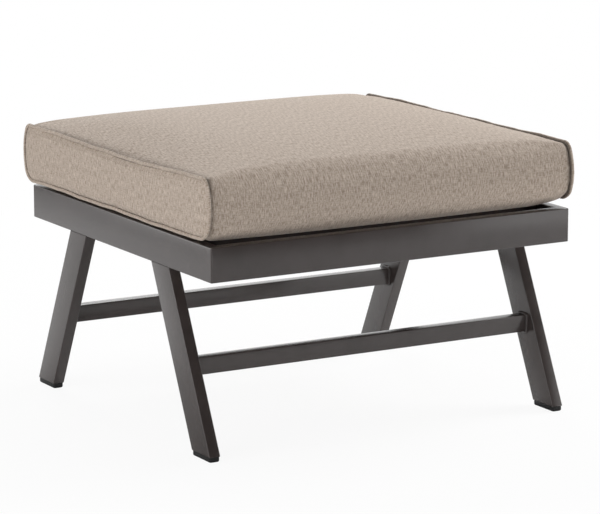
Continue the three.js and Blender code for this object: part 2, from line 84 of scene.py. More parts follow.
camera_data = bpy.data.cameras.new("camera")
camera_data.lens = LENS_MM
camera_data.sensor_width = SENSOR_MM
camera = add_to_scene("camera", camera_data)
camera.location = CAMERA_PLACE
camera.rotation_euler = (math.pi / 2 - CAMERA_TILT_DOWN, 0, CAMERA_TURN)
scene.camera = camera
print("camera", [round(x, 3) for x in camera.location])

# %% [markdown]
# ## Writing nodes as sums
# A shader is easier to read as an expression than as a list of links. A wire stands for a node's
# output, and the operators below add the Math node that they name. Every other node comes from one
# method, `add`, which takes the node's type, its settings and what goes into its sockets.

# %% Wires and trees
def operator(operation, swapped=False):
    """A method that adds the Math node of an operation."""

    def method(self, other):
        first, second = (other, self) if swapped else (self, other)
        return self.maths(operation, first, second)

    return method


class Wire:
    """One output of a node, which can be added, subtracted, multiplied and divided."""

    __add__ = __radd__ = operator("ADD")
    __sub__, __rsub__ = operator("SUBTRACT"), operator("SUBTRACT", swapped=True)
    __mul__ = __rmul__ = operator("MULTIPLY")
    __truediv__, __rtruediv__ = operator("DIVIDE"), operator("DIVIDE", swapped=True)

    def __init__(self, tree, socket):
        self.tree = tree
        self.socket = socket

    def maths(self, operation, first, second):
        return self.tree.add("ShaderNodeMath", {"operation": operation}, {0: first, 1: second})


class Tree:
    """A node tree of any kind, with one method that adds any node."""

    def __init__(self, tree):
        self.tree = tree
        tree.nodes.clear()

    def add(self, kind, settings=None, inputs=None, output=0):
        node = self.tree.nodes.new(kind)
        for name, value in (settings or {}).items():
            if name == "stops":
                set_stops(node.color_ramp, value)
            else:
                setattr(node, name, value)
        for name, value in (inputs or {}).items():
            if isinstance(value, Wire):
                self.tree.links.new(value.socket, node.inputs[name])
            else:
                node.inputs[name].default_value = value
        return Wire(self, node.outputs[output]) if node.outputs else node


def set_stops(ramp, stops):
    while len(ramp.elements) < len(stops):
        ramp.elements.new(1)
    for element, (place, colour) in zip(ramp.elements, stops):
        element.position = place
        element.color = (*colour, 1)


def new_material(name):
    material = bpy.data.materials.new(name)
    material.use_nodes = True
    return material, Tree(material.node_tree)


# %% [markdown]
# ## The studio
# The ottoman stands on white in even light from large lamps: its top gets the most, its left side
# less and its front the least. The white is what camera and glossy rays see, so it adds next to no
# light to the cloth. Glossy rays see it behind the object and in two bright pools on the floor, to
# its left and in front of its right end. The rest of the room is dim. A small share of the floor
# is a plain diffuse surface, which keeps a faint shadow under the feet.

# %% Floor and world
FLOOR_HALF = 6
FLOOR_SHADOW_SHARE = 0.10
SHADOW_REACH = 1.6
FLOOR_COLOUR = (0.86, 0.86, 0.86, 1)
LEFT_POOL = {"middle": (-0.95, 0.85, 0), "reach": 0.65, "share": 1.4}
FRONT_POOL = {"middle": (1.25, -1.55, 0), "reach": 0.65, "share": 0.7}
POOL_EDGE = 1.3
BACKDROP_START = 0.1
BACKDROP_SLOPE = 1.3
WHITE = (1, 1, 1, 1)
WORLD_STRENGTH = 0.03


def within_one(value):
    return value.maths("MINIMUM", value.maths("MAXIMUM", value, 0), 1)


def distance_to(tree, place, middle):
    return tree.add("ShaderNodeVectorMath", {"operation": "DISTANCE"}, {0: place, 1: middle},
                    output="Value")


def light_pool(tree, place, middle, reach, share):
    """A soft round patch of white. A share above 1 widens its even middle, as a mix stops at 1."""
    return within_one(POOL_EDGE - distance_to(tree, place, middle) / reach) * share


def seen_white(tree, glossy_share):
    """1 for the camera's own rays and a share for reflections. The light stays the lamps' own."""
    camera_ray = tree.add("ShaderNodeLightPath", output="Is Camera Ray")
    glossy_ray = tree.add("ShaderNodeLightPath", output="Is Glossy Ray")
    return camera_ray.maths("MAXIMUM", camera_ray, glossy_ray * glossy_share)


def make_floor():
    material, tree = new_material("studio_floor")
    place = tree.add("ShaderNodeTexCoord", output="Object")
    near = within_one(1 - distance_to(tree, place, (0, 0, 0)) / SHADOW_REACH)
    pool = light_pool(tree, place, **LEFT_POOL) + light_pool(tree, place, **FRONT_POOL)
    plain = tree.add("ShaderNodeBsdfDiffuse", inputs={"Color": FLOOR_COLOUR})
    white = tree.add("ShaderNodeEmission", inputs={"Color": WHITE, "Strength": 1.0})
    share = seen_white(tree, pool) * (1 - near * FLOOR_SHADOW_SHARE)
    mixed = tree.add("ShaderNodeMixShader", inputs={0: share, 1: plain, 2: white})
    tree.add("ShaderNodeOutputMaterial", inputs={"Surface": mixed})
    h = FLOOR_HALF
    floor = new_object("studio_floor", [(-h, -h, 0), (h, -h, 0), (h, h, 0), (-h, h, 0)],
                       [(0, 1, 2, 3)], material)


def make_world():
    world = bpy.data.worlds.new("studio")
    world.use_nodes = True
    scene.world = world
    tree = Tree(world.node_tree)
    direction = tree.add("ShaderNodeTexCoord", output="Generated")
    back = tree.add("ShaderNodeSeparateXYZ", inputs={"Vector": direction}, output="Y")
    white = seen_white(tree, within_one(back * BACKDROP_SLOPE + BACKDROP_START))
    strength = white * (1 - WORLD_STRENGTH) + WORLD_STRENGTH
    light = tree.add("ShaderNodeBackground", inputs={"Color": WHITE, "Strength": strength})
    tree.add("ShaderNodeOutputWorld", inputs={"Surface": light})


make_floor()
make_world()
scene.view_settings.view_transform = "Standard"
print("floor and world made")

# %% Lamps
AIM = Vector((0, 0, 0.3))
LAMPS = {
    "lamp_back": {"place": (0.6, 2.6, 2.3), "size": 1.6, "watts": 49},
    "lamp_back_low": {"place": (1.6, 2.9, 0.85), "size": 1.0, "watts": 1.5},
    "lamp_left": {"place": (-2.6, -0.5, 1.5), "size": 2.0, "watts": 41},
    "lamp_left_back": {"place": (-2.2, 2.4, 0.6), "size": 1.1, "watts": 10},
    "lamp_front_left": {"place": (-2.0, -2.2, 2.3), "size": 1.4, "watts": 11},
    "lamp_front_low": {"place": (-0.2, -3.0, 0.32), "size": 0.6, "watts": 9.5},
    "lamp_front_right": {"place": (1.4, -1.5, 0.45), "size": 0.8, "watts": 3.5},
    "lamp_right": {"place": (3.0, -0.3, 1.3), "size": 2.0, "watts": 32},
    "lamp_right_high": {"place": (2.3, 0.2, 2.2), "size": 1.4, "watts": 60},
}


def make_lamp(name, place, size, watts):
    data = bpy.data.lights.new(name, "AREA")
    data.size = size
    data.energy = watts
    lamp = add_to_scene(name, data)
    lamp.location = place
    lamp.rotation_euler = (AIM - Vector(place)).to_track_quat("-Z", "Y").to_euler()


for lamp_name, lamp_values in LAMPS.items():
    make_lamp(lamp_name, **lamp_values)
print("lamps", len(LAMPS))

# %% [markdown]
# ## Powder coat
# The tubes are aluminium under a satin powder coat. Such a coat is nearly one colour, with the fine
# waviness of orange peel that breaks up reflections, and a few grains that catch the light. The
# shader holds the colour nearly still and lets bump and roughness carry the surface.
#
# The plugs are black plastic from a spark-eroded mould, with a fine even grain and dull scuffs. The
# fasteners are stainless steel with fine turning marks and dull patches. One function makes both:
# its fine noise carries the relief, and its wide one carries the tone.

# %% Coats and plastics
COAT_TONES = ((0.040, 0.0312, 0.0290), (0.055, 0.0430, 0.0405))
COAT_STOPS = (0.35, 0.65)
CLOUD_PER_METRE = 22
CLOUD_SHARE = 0.6
PEEL_PER_METRE = 900
PEEL_RELIEF = (0.00002, 0.35)
COAT_ROUGHNESS = (0.10, 0.06, 0.14)
FOOT_TONES = ((0.008, 0.008, 0.008), (0.014, 0.014, 0.014))
PLASTIC = {"constants": {"Metallic": 0.0, "Specular IOR Level": 0.4}, "fine": (1800, 1.0),
           "wide": (260, 4.0, 0.7), "stops": (0.4, 0.75), "roughness": (0.12, 0.1, 0.45),
           "relief": (0.00004, 0.4)}
STEEL_TONES = ((0.38, 0.375, 0.365), (0.58, 0.57, 0.56))
STEEL = {"constants": {"Metallic": 1.0}, "fine": (2600, 2.0), "wide": (240, 3.0),
         "stops": (0.3, 0.7), "roughness": (0.15, 0.2, 0.18), "relief": (0.00002, 0.3)}


def object_place(tree):
    return tree.add("ShaderNodeTexCoord", output="Object")


def noise(tree, place, scale, detail=2.0, roughness=0.5):
    return tree.add("ShaderNodeTexNoise", inputs={
        "Vector": place, "Scale": scale, "Detail": detail, "Roughness": roughness})


def ramp(tree, factor, places, colours):
    return tree.add("ShaderNodeValToRGB", {"stops": list(zip(places, colours))}, {"Fac": factor})


def bump(tree, height, depth, strength):
    return tree.add("ShaderNodeBump", inputs={
        "Height": height, "Distance": depth, "Strength": strength}, output="Normal")


def finish_material(tree, constants, colour, roughness, normal):
    """A Principled shader with constants on its own sockets and wires for what varies."""
    varying = {"Base Color": colour, "Roughness": roughness, "Normal": normal}
    shader = tree.add("ShaderNodeBsdfPrincipled", inputs={**constants, **varying})
    tree.add("ShaderNodeOutputMaterial", inputs={"Surface": shader})


def powder_coat(name, tones):
    material, tree = new_material(name)
    place = object_place(tree)
    peel = noise(tree, place, PEEL_PER_METRE, detail=1.0)
    cloud = noise(tree, place, CLOUD_PER_METRE, detail=3.0)
    grain = noise(tree, place, PEEL_PER_METRE * 3, detail=0.0)
    tone = cloud * CLOUD_SHARE + grain * (1 - CLOUD_SHARE)
    by_cloud, by_peel, least = COAT_ROUGHNESS
    finish_material(tree, {"Metallic": 0.0, "Specular IOR Level": 0.75},
                    ramp(tree, tone, COAT_STOPS, tones),
                    cloud * by_cloud + peel * by_peel + least, bump(tree, peel, *PEEL_RELIEF))
    return material


def grained(name, tones, constants, fine, wide, stops, roughness, relief):
    """A plain surface whose fine noise carries the relief and whose wide one carries the tone."""
    material, tree = new_material(name)
    place = object_place(tree)
    grain, patch = noise(tree, place, *fine), noise(tree, place, *wide)
    by_grain, by_patch, least = roughness
    finish_material(tree, constants, ramp(tree, patch, stops, tones),
                    grain * by_grain + patch * by_patch + least, bump(tree, grain, *relief))
    return material


frame_coat = powder_coat("powder_coat_frame", COAT_TONES)
slat_coat = powder_coat("powder_coat_slats", COAT_TONES)
foot_plastic = grained("foot_black", FOOT_TONES, **PLASTIC)
fastener_steel = grained("fastener_bright", STEEL_TONES, **STEEL)
print("materials", [m.name for m in (frame_coat, slat_coat, foot_plastic, fastener_steel)])

# %% [markdown]
# ## The woven cover
# The cover is a plain weave of mixed light and dark yarns. From a step away it is a warm grey with
# short darker and lighter streaks that run up the front, where single thick yarns show. Close by,
# each yarn passes over and under its neighbours. The pattern lies on a UV map named cloth, measured
# in metres on the cloth itself, so it turns with each panel as a cut piece of cloth does.

# %% Cloth material
CLOTH_TONES = ((0.308, 0.240, 0.187), (0.485, 0.399, 0.330), (0.640, 0.552, 0.474))
CLOTH_STOPS = (0.38, 0.5, 0.62)
CLOTH_ROUGHNESS = (0.1, 0.82)
YARN_PITCH = 0.0009
YARN_RELIEF = (0.00016, 0.6)
OVER_SHARE, ROW_SHARE, TONE_SHARE = 0.5, 0.3, 1.5
SLUBS_ACROSS = 700
SLUBS_ALONG = 105
COVER_SLUB_SHARE = 0.54
FLECKS_PER_METRE = 480
FLECK_SHARE = 0.25
# Painted shade: how much the shade in the folds beside the piping darkens the cloth.
PAINTED_SHADE_STRENGTH = 0.6


def stretched(tree, place, across, along):
    """The cloth's own place with each of its two directions given its own scale."""
    return tree.add("ShaderNodeVectorMath", {"operation": "MULTIPLY"},
                    {0: place, 1: (across, along, 1.0)})


def split(tree, place):
    parts = tree.add("ShaderNodeSeparateXYZ", inputs={0: place})
    node = parts.socket.node
    return Wire(tree, node.outputs["X"]), Wire(tree, node.outputs["Y"])


def sine(wire):
    return wire.maths("SINE", wire, 0)


def woven(name, tones, slub_share):
    material, tree = new_material(name)
    cloth = tree.add("ShaderNodeUVMap", {"uv_map": "cloth"}, output="UV")
    slub = noise(tree, stretched(tree, cloth, SLUBS_ACROSS, SLUBS_ALONG), 1.0)
    weft = noise(tree, stretched(tree, cloth, SLUBS_ALONG, SLUBS_ACROSS), 1.0)
    fleck = noise(tree, cloth, FLECKS_PER_METRE, roughness=0.6)
    tone = slub * slub_share + weft * (1 - FLECK_SHARE - slub_share) + fleck * FLECK_SHARE
    across, along = split(tree, cloth)
    step = 2 * math.pi / YARN_PITCH
    over = sine(across * (step / 2)) * sine(along * (step / 2))
    rows = sine(across * step) * 0.5 + sine(along * step) * 0.5
    relief = over * OVER_SHARE + rows * ROW_SHARE + tone * TONE_SHARE
    # Painted shade: a number kept on each point of the cover darkens the cloth's colour, to paint
    # the shade in the folds beside the piping.
    painted_shade = tree.add("ShaderNodeAttribute", {"attribute_name": "seam_shade"}, output="Fac")
    folded = tree.add("ShaderNodeVectorMath", {"operation": "SCALE"},
                      {0: ramp(tree, tone, CLOTH_STOPS, tones),
                       "Scale": 1 - painted_shade * PAINTED_SHADE_STRENGTH})
    by_fleck, least = CLOTH_ROUGHNESS
    finish_material(
        tree, {"Specular IOR Level": 0.2, "Sheen Weight": 0.12, "Sheen Roughness": 0.5},
        folded, fleck * by_fleck + least, bump(tree, relief, *YARN_RELIEF))
    return material


cover_cloth = woven("cover_cloth", CLOTH_TONES, COVER_SLUB_SHARE)
print("cloth", cover_cloth.name)

# %% [markdown]
# ## Making a mesh from rings
# Tubes, feet and the cushion are all rings of points that are joined one to the next. The helpers
# below join rings, close their ends and turn the faces outwards by the sign of the volume. Others
# read and write what a mesh holds for each point, and put a finished piece in its place.

# %% Mesh helpers
def numbers_of(items, key, width=3):
    """What each item of a mesh holds under a key, as one row for each."""
    values = np.empty(len(items) * width, np.float32)
    items.foreach_get(key, values)
    return values.reshape(-1, width).astype(float)


def points_of(piece):
    return numbers_of(piece.data.vertices, "co")


def normals_of(piece):
    return numbers_of(piece.data.vertex_normals, "vector")


def attribute_of(piece, label):
    return numbers_of(piece.data.attributes[label].data, "value", 1)[:, 0]


def set_points(piece, places):
    piece.data.vertices.foreach_set("co", places.astype(np.float32).ravel())
    piece.data.update()


def note(piece, label, values):
    """Keeps one number for each point of a piece."""
    kept = piece.data.attributes.new(label, "FLOAT", "POINT")
    kept.data.foreach_set("value", np.array(values, np.float32))


def lay_map(piece, places):
    """Keeps each face corner's place on the cloth, in metres."""
    layer = piece.data.uv_layers.new(name="cloth")
    layer.data.foreach_set("uv", np.array(places, np.float32).ravel())


@contextmanager
def edited(piece, source=None):
    """Opens a piece's own mesh, or the mesh of its source, and puts the result in the piece."""
    work = bmesh.new()
    work.from_mesh((source or piece).data)
    yield work
    work.to_mesh(piece.data)
    work.free()


def between(first, second, count):
    """Quads between two rings of equal count that start at these point numbers."""
    return [(first + i, first + (i + 1) % count, second + (i + 1) % count, second + i)
            for i in range(count)]


def skin(starts, count):
    """Quads along a row of rings that start at these point numbers."""
    return [quad for a, b in zip(starts, starts[1:]) for quad in between(a, b, count)]


def volume_of(points, faces):
    total = 0.0
    for face in faces:
        a = points[face[0]]
        for b, c in zip(face[1:-1], face[2:]):
            total += np.dot(a, np.cross(points[b], points[c]))
    return total


def outwards(points, faces):
    points = np.asarray(points, float)
    if volume_of(points - points.mean(0), faces) < 0:
        faces = [tuple(reversed(face)) for face in faces]
    return points, faces


def hollow(outer, inner):
    """A tube: along its outer rings, over a lip, back along its inner rings and over a lip."""
    rings, count = [*outer, *reversed(inner)], len(outer[0])
    starts = [n * count for n in range(len(rings))]
    return outwards(np.concatenate(rings), skin(starts + starts[:1], count))


def solid(rings):
    """A closed shape through rings, with a flat face at each end."""
    count = len(rings[0])
    starts = [n * count for n in range(len(rings))]
    ends = [tuple(reversed(range(count))), tuple(range(starts[-1], starts[-1] + count))]
    return outwards(np.concatenate(rings), skin(starts, count) + ends)


CORNER_STEPS = 4


def rounded_outline(half_a, half_b, radius):
    """A rectangle with rounded corners about (0, 0)."""
    points = []
    for n, (sa, sb) in enumerate([(1, 1), (-1, 1), (-1, -1), (1, -1)]):
        for i in range(CORNER_STEPS + 1):
            angle = math.pi / 2 * (n + i / CORNER_STEPS)
            points.append((sa * (half_a - radius) + radius * math.cos(angle),
                           sb * (half_b - radius) + radius * math.sin(angle)))
    return np.array(points)


def quarter_turn(steps, first=0):
    """The sine and cosine of even steps through a right angle."""
    angles = [math.pi / 2 * i / steps for i in range(first, steps + 1)]
    return [(math.sin(angle), math.cos(angle)) for angle in angles]


def sharpen(piece, degrees=40):
    """Smooth shading that breaks at edges steeper than the angle."""
    mesh = piece.data
    mesh.polygons.foreach_set("use_smooth", [True] * len(mesh.polygons))
    mesh.set_sharp_from_angle(angle=math.radians(degrees))


def stand_for(piece, body, slot, *nodes):
    """Puts a finished piece on its body in place of any CAD nodes named. Its slot is not used."""
    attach(piece, body)
    if nodes:
        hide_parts(*nodes)
    print(piece.name, "faces", len(piece.data.polygons))


def box_of(node):
    """The middle of a CAD node's box and its half lengths."""
    low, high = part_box(node)
    return (low + high) / 2, (high - low) / 2


# %% [markdown]
# ## Rails
# Each rail is a rectangular tube whose long edges have a small radius from the die. The ends are
# cut at 45 degrees and welded, and the outer corner is ground round, so its vertical edge catches a
# line of light. The sweep below turns the outer wall through 45 degrees at each end to give half
# of that round, and the next rail gives the other half.

# %% Rails
TUBE_RADIUS = 0.0013
TUBE_WALL = 0.0016
GROUND_RADIUS = 0.0020
MITRE_SETBACK = 0.00007
TURN_STEPS = 4

rail_low, rail_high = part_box("rail_left")
front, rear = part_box("rail_front")[0].y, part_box("rail_rear")[1].y
FRAME_SIDE = -rail_low.x
TUBE_THICKNESS = rail_high.x - rail_low.x
FRAME_END = (rear - front) / 2
FRAME_MIDDLE = (rear + front) / 2
RAIL_TOP = rail_high.z
RAIL_UNDERSIDE = rail_low.z
INNER_SIDE = FRAME_SIDE - TUBE_THICKNESS


def tube_outlines(half_a, half_b, radius=TUBE_RADIUS):
    """The outside of a rectangular tube and its bore."""
    return (rounded_outline(half_a, half_b, radius),
            rounded_outline(half_a - TUBE_WALL, half_b - TUBE_WALL, radius / 2))


def tube(name, outer, inner, degrees=40):
    """A coated tube through its rings, in place of the CAD node of that name."""
    piece = new_object(name + "_tube", *hollow(outer, inner), frame_coat)
    sharpen(piece, degrees)
    stand_for(piece, "frame", "frame_coat", name)


def corner_place(depth, share, half_length, half_reach):
    """How far along and out a point lies that is `depth` inside the outer face."""
    if depth < GROUND_RADIUS:
        angle = math.pi / 4 * share
        arm = GROUND_RADIUS - depth
        return (half_length - GROUND_RADIUS + arm * math.sin(angle),
                half_reach - GROUND_RADIUS + arm * math.cos(angle))
    return half_length - depth - (1 - share) * GROUND_RADIUS / 2, half_reach - depth


def rail(name, along, out, half_length, half_reach):
    along, out = Vector(along), Vector(out)
    middle = Vector((0, FRAME_MIDDLE, (RAIL_TOP + RAIL_UNDERSIDE) / 2))
    outline, bore = tube_outlines(TUBE_THICKNESS / 2, (RAIL_TOP - RAIL_UNDERSIDE) / 2)

    def ring(section, side, share):
        points = []
        for a, b in section:
            run, reach = corner_place(TUBE_THICKNESS / 2 - a, share, half_length, half_reach)
            points.append(middle + along * side * (run - MITRE_SETBACK) + out * reach
                          + Vector((0, 0, b)))
        return np.array(points)

    shares = [i / TURN_STEPS for i in range(TURN_STEPS + 1)]
    outer = [ring(outline, -1, s) for s in reversed(shares)] + [ring(outline, 1, s) for s in shares]
    tube(name, outer, [ring(bore, -1, 1), ring(bore, 1, 1)])


rail("rail_front", (1, 0, 0), (0, -1, 0), FRAME_SIDE, FRAME_END)
rail("rail_rear", (1, 0, 0), (0, 1, 0), FRAME_SIDE, FRAME_END)
rail("rail_left", (0, 1, 0), (-1, 0, 0), FRAME_END, FRAME_SIDE)
rail("rail_right", (0, 1, 0), (1, 0, 0), FRAME_END, FRAME_SIDE)

# %% [markdown]
# ## Legs
# A leg is the same tube, cut level at both ends and leaning towards its end of the frame. Level
# cuts through a leaning tube are longer than the tube is wide, so each ring is worked out at its
# own height instead of square to the tube. The lower end has its burr taken off by a small chamfer.

# %% Legs
LEG_WIDTH = 0.049
LEG_CHAMFER = 0.0005
LEAN_ROUNDS = 20
leg_low, leg_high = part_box("leg_front_left")
LEG_HEIGHT = leg_high.z - leg_low.z
FOOT_HEIGHT = leg_low.z


def leg_values():
    """The leg's lean and the run of its level cut, from the height and width of its box."""
    reach = leg_high.y - leg_low.y
    lean = 0.0
    for _ in range(LEAN_ROUNDS):
        run = LEG_WIDTH / math.cos(lean)
        lean = math.atan2(reach - run, LEG_HEIGHT)
    return lean, LEG_WIDTH / math.cos(lean)


LEG_LEAN, LEG_RUN = leg_values()


def leg_near_edge(end, height):
    """Where the edge towards the frame's end lies at a height, for end -1 in front, 1 behind."""
    low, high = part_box("leg_front_left" if end < 0 else "leg_rear_left")
    foot_edge = low.y if end < 0 else high.y
    return foot_edge - end * math.tan(LEG_LEAN) * (height - FOOT_HEIGHT)


def leg(name, side, end):
    middle_x = side * (FRAME_SIDE - TUBE_THICKNESS / 2)
    spread = 1 / math.cos(LEG_LEAN)

    def ring(section, height):
        near = leg_near_edge(end, height)
        return np.array([(middle_x + a, near - end * (LEG_RUN / 2 + b * spread), height)
                         for a, b in section])

    half_a, half_b = TUBE_THICKNESS / 2, LEG_WIDTH / 2
    full, bore = tube_outlines(half_a, half_b)
    bottom = rounded_outline(half_a - LEG_CHAMFER, half_b - LEG_CHAMFER, TUBE_RADIUS)
    outer = [ring(bottom, FOOT_HEIGHT), ring(full, FOOT_HEIGHT + LEG_CHAMFER),
             ring(full, RAIL_UNDERSIDE)]
    tube(name, outer, [ring(bore, FOOT_HEIGHT), ring(bore, RAIL_UNDERSIDE)], 25)


SIDES = {"left": -1, "right": 1}
ENDS = {"front": -1, "rear": 1}
CORNERS = [(f"{end}_{side}", SIDES[side], ENDS[end]) for end in ENDS for side in SIDES]
for corner, side, end in CORNERS:
    leg(f"leg_{corner}", side, end)
print("lean", round(math.degrees(LEG_LEAN), 2), "run", round(LEG_RUN, 4))

# %% [markdown]
# ## Feet
# A black plastic plug closes each leg. What shows is a pad a little smaller than the tube, with a
# round lower edge. Stacked rings that shrink along a quarter circle give the round.

# %% Feet
FOOT_ROUND = 0.0025
FOOT_CORNER = 0.0024
FOOT_STEPS = 6


def foot(name, end):
    low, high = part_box(name)
    middle_x, half_x = (low.x + high.x) / 2, (high.x - low.x) / 2
    middle_y = leg_near_edge(end, FOOT_HEIGHT) - end * LEG_RUN / 2
    half_y = LEG_RUN / 2 - (TUBE_THICKNESS / 2 - half_x)

    def ring(narrowed, height, lean=0.0):
        outline = rounded_outline(half_x - narrowed, half_y - narrowed, FOOT_CORNER)
        return np.array([(middle_x + a, middle_y + b - end * lean, height) for a, b in outline])

    rings = [ring(FOOT_ROUND * (1 - s), FOOT_ROUND * (1 - c)) for s, c in quarter_turn(FOOT_STEPS)]
    rings += [ring(0, FOOT_HEIGHT - LEG_CHAMFER), ring(TUBE_WALL, FOOT_HEIGHT),
              ring(TUBE_WALL, high.z, (high.z - FOOT_HEIGHT) * math.tan(LEG_LEAN))]
    piece = new_object(name + "_plug", *solid(rings), foot_plastic)
    sharpen(piece, 50)
    stand_for(piece, "frame", "foot_plastic", name)


for corner, side, end in CORNERS:
    foot(f"foot_{corner}", end)

# %% [markdown]
# ## Stretchers
# Two lighter tubes tie the legs together, welded between their inner faces.

# %% Stretchers
STRETCHER_RADIUS = 0.0012


def stretcher(name):
    middle, half = box_of(name)

    def ring(section, side):
        return np.array([(middle.x + side * half.x, middle.y + a, middle.z + b)
                         for a, b in section])

    outline, bore = tube_outlines(half.y, half.z, STRETCHER_RADIUS)
    tube(name, [ring(outline, -1), ring(outline, 1)], [ring(bore, -1), ring(bore, 1)])


stretcher("stretcher_front")
stretcher("stretcher_rear")

# %% [markdown]
# ## Beads that follow a path
# A weld bead and the piping of a cushion are both round cords laid along a closed line. One
# geometry tree makes both: it turns a loop of edges into a curve, varies the cord's thickness along
# it and sweeps a circle. Its inputs are named, so the same tree gives a rippled weld and nearly
# even piping. It also writes the cloth map, so that a weave can run along the cord.

# %% Geometry tree for a cord along a loop
def new_geometry_tree(name, inputs):
    group = bpy.data.node_groups.new(name, "GeometryNodeTree")
    for label, kind in {"Geometry": "Geometry", **inputs, "Material": "Material"}.items():
        group.interface.new_socket(label, in_out="INPUT", socket_type=f"NodeSocket{kind}")
    group.interface.new_socket("Geometry", in_out="OUTPUT", socket_type="NodeSocketGeometry")
    tree = Tree(group)
    entry = group.nodes.new("NodeGroupInput")
    given = {socket.name: Wire(tree, socket) for socket in entry.outputs if socket.name}
    return group, tree, given


def close_tree(tree, geometry, material):
    """Every tree ends by making its copies real and giving them their material."""
    real = tree.add("GeometryNodeRealizeInstances", inputs={"Geometry": geometry})
    painted = tree.add("GeometryNodeSetMaterial", inputs={"Geometry": real, "Material": material})
    tree.add("NodeGroupOutput", inputs={"Geometry": painted})


def run_tree(piece, group, **values):
    """Runs a geometry tree on a piece and keeps the result as the piece's own mesh."""
    modifier = piece.modifiers.new(group.name, "NODES")
    modifier.node_group = group
    for item in group.interface.items_tree:
        if item.item_type == "SOCKET" and item.in_out == "INPUT" and item.name in values:
            modifier[item.identifier] = values[item.name]
    keep_result(piece)


def keep_result(piece):
    """The evaluated shape becomes the mesh, and the modifiers go."""
    bpy.context.view_layer.update()
    graph = bpy.context.evaluated_depsgraph_get()
    mesh = bpy.data.meshes.new_from_object(
        piece.evaluated_get(graph), preserve_all_data_layers=True, depsgraph=graph)
    piece.modifiers.clear()
    old = piece.data
    piece.data = mesh
    bpy.data.meshes.remove(old)


def captured(tree, geometry, label):
    """The geometry with each point's length along its curve kept, and that length."""
    length = tree.add("GeometryNodeSplineParameter", output="Length")
    kept = tree.add("GeometryNodeCaptureAttribute", {"domain": "POINT"}, {"Geometry": geometry})
    node = kept.socket.node
    node.capture_items.new("FLOAT", label)
    tree.tree.links.new(length.socket, node.inputs[label])
    return kept, Wire(tree, node.outputs[label])


def cord_tree():
    group, tree, given = new_geometry_tree("cord_on_loop", {
        "Radius": "Float", "Sides": "Int", "Wave Length": "Float", "Wave Share": "Float",
        "Rough Length": "Float", "Rough Share": "Float"})
    length = tree.add("GeometryNodeSplineParameter", output="Length")
    place = tree.add("GeometryNodeInputPosition")
    wave = sine(length / given["Wave Length"] * (2 * math.pi)) * given["Wave Share"]
    rough = tree.add("ShaderNodeTexNoise",
                     inputs={"Vector": place, "Scale": 1 / given["Rough Length"]})
    thickness = 1 + wave + (rough - 0.5) * given["Rough Share"]
    curve = tree.add("GeometryNodeMeshToCurve", inputs={"Mesh": given["Geometry"]})
    circle = tree.add("GeometryNodeCurvePrimitiveCircle",
                      inputs={"Resolution": given["Sides"], "Radius": given["Radius"]})
    path, run = captured(tree, curve, "run")
    section, turn = captured(tree, circle, "turn")
    swept = tree.add("GeometryNodeCurveToMesh", inputs={
        "Curve": path, "Profile Curve": section, "Scale": thickness})
    place_on_cloth = tree.add("ShaderNodeCombineXYZ", inputs={0: run, 1: turn})
    mapped = tree.add("GeometryNodeStoreNamedAttribute",
                      {"data_type": "FLOAT2", "domain": "CORNER"},
                      {"Geometry": swept, "Name": "cloth", "Value": place_on_cloth})
    smooth = tree.add("GeometryNodeSetShadeSmooth", inputs={"Geometry": mapped})
    close_tree(tree, smooth, given["Material"])
    return group


CORD_ON_LOOP = cord_tree()


def cord_on_loop(name, points, material, sizes):
    count = len(points)
    piece = new_object(name, points, edges=[(i, (i + 1) % count) for i in range(count)])
    run_tree(piece, CORD_ON_LOOP, Material=material, **sizes)
    turn_outwards(piece)
    return piece


def turn_outwards(piece):
    with edited(piece) as work:
        if work.calc_volume(signed=True) < 0:
            bmesh.ops.reverse_faces(work, faces=work.faces)


print("tree", CORD_ON_LOOP.name)

# %% [markdown]
# ## Weld beads
# The bead round each stretcher's end is a row of overlapping drops of metal. A wave on the cord's
# thickness, about as long as one drop, and a little noise give it its scales.

# %% Weld beads
BEAD_RADIUS = 0.0024
BEAD_LIFT = 0.0008
BEAD_STEP = 0.0004
BEAD_CORD = {"Radius": BEAD_RADIUS, "Sides": 14, "Wave Length": 0.0021, "Wave Share": 0.09,
             "Rough Length": 0.004, "Rough Share": 0.5}


def resampled(points, step):
    """A closed line with points at an even step."""
    points = np.asarray(points, float)
    closed = np.vstack([points, points[:1]])
    run = np.concatenate([[0], np.cumsum(np.linalg.norm(np.diff(closed, axis=0), axis=1))])
    count = max(8, round(run[-1] / step))
    places = np.linspace(0, run[-1], count, endpoint=False)
    return np.stack([np.interp(places, run, closed[:, k]) for k in range(closed.shape[1])], 1)


def weld(end_name, side_name):
    middle, half = box_of(f"stretcher_{end_name}")
    outline = rounded_outline(half.y + BEAD_LIFT, half.z + BEAD_LIFT, BEAD_RADIUS)
    x = SIDES[side_name] * (INNER_SIDE - BEAD_LIFT)
    loop = resampled([(x, middle.y + a, middle.z + b) for a, b in outline], BEAD_STEP)
    name = f"weld_{end_name}_{side_name}"
    piece = cord_on_loop(name + "_bead", loop, frame_coat, BEAD_CORD)
    stand_for(piece, "frame", "frame_coat", name)


for end_name in ENDS:
    for side_name in SIDES:
        weld(end_name, side_name)

# %% [markdown]
# ## Slats
# Five flat tubes lie across the frame and carry the cushion. They are all alike and evenly spaced,
# so a geometry tree makes one and copies it along a line.

# %% Geometry tree for a row of tubes
SLAT_COUNT = 5
SLAT_RADIUS = 0.0010


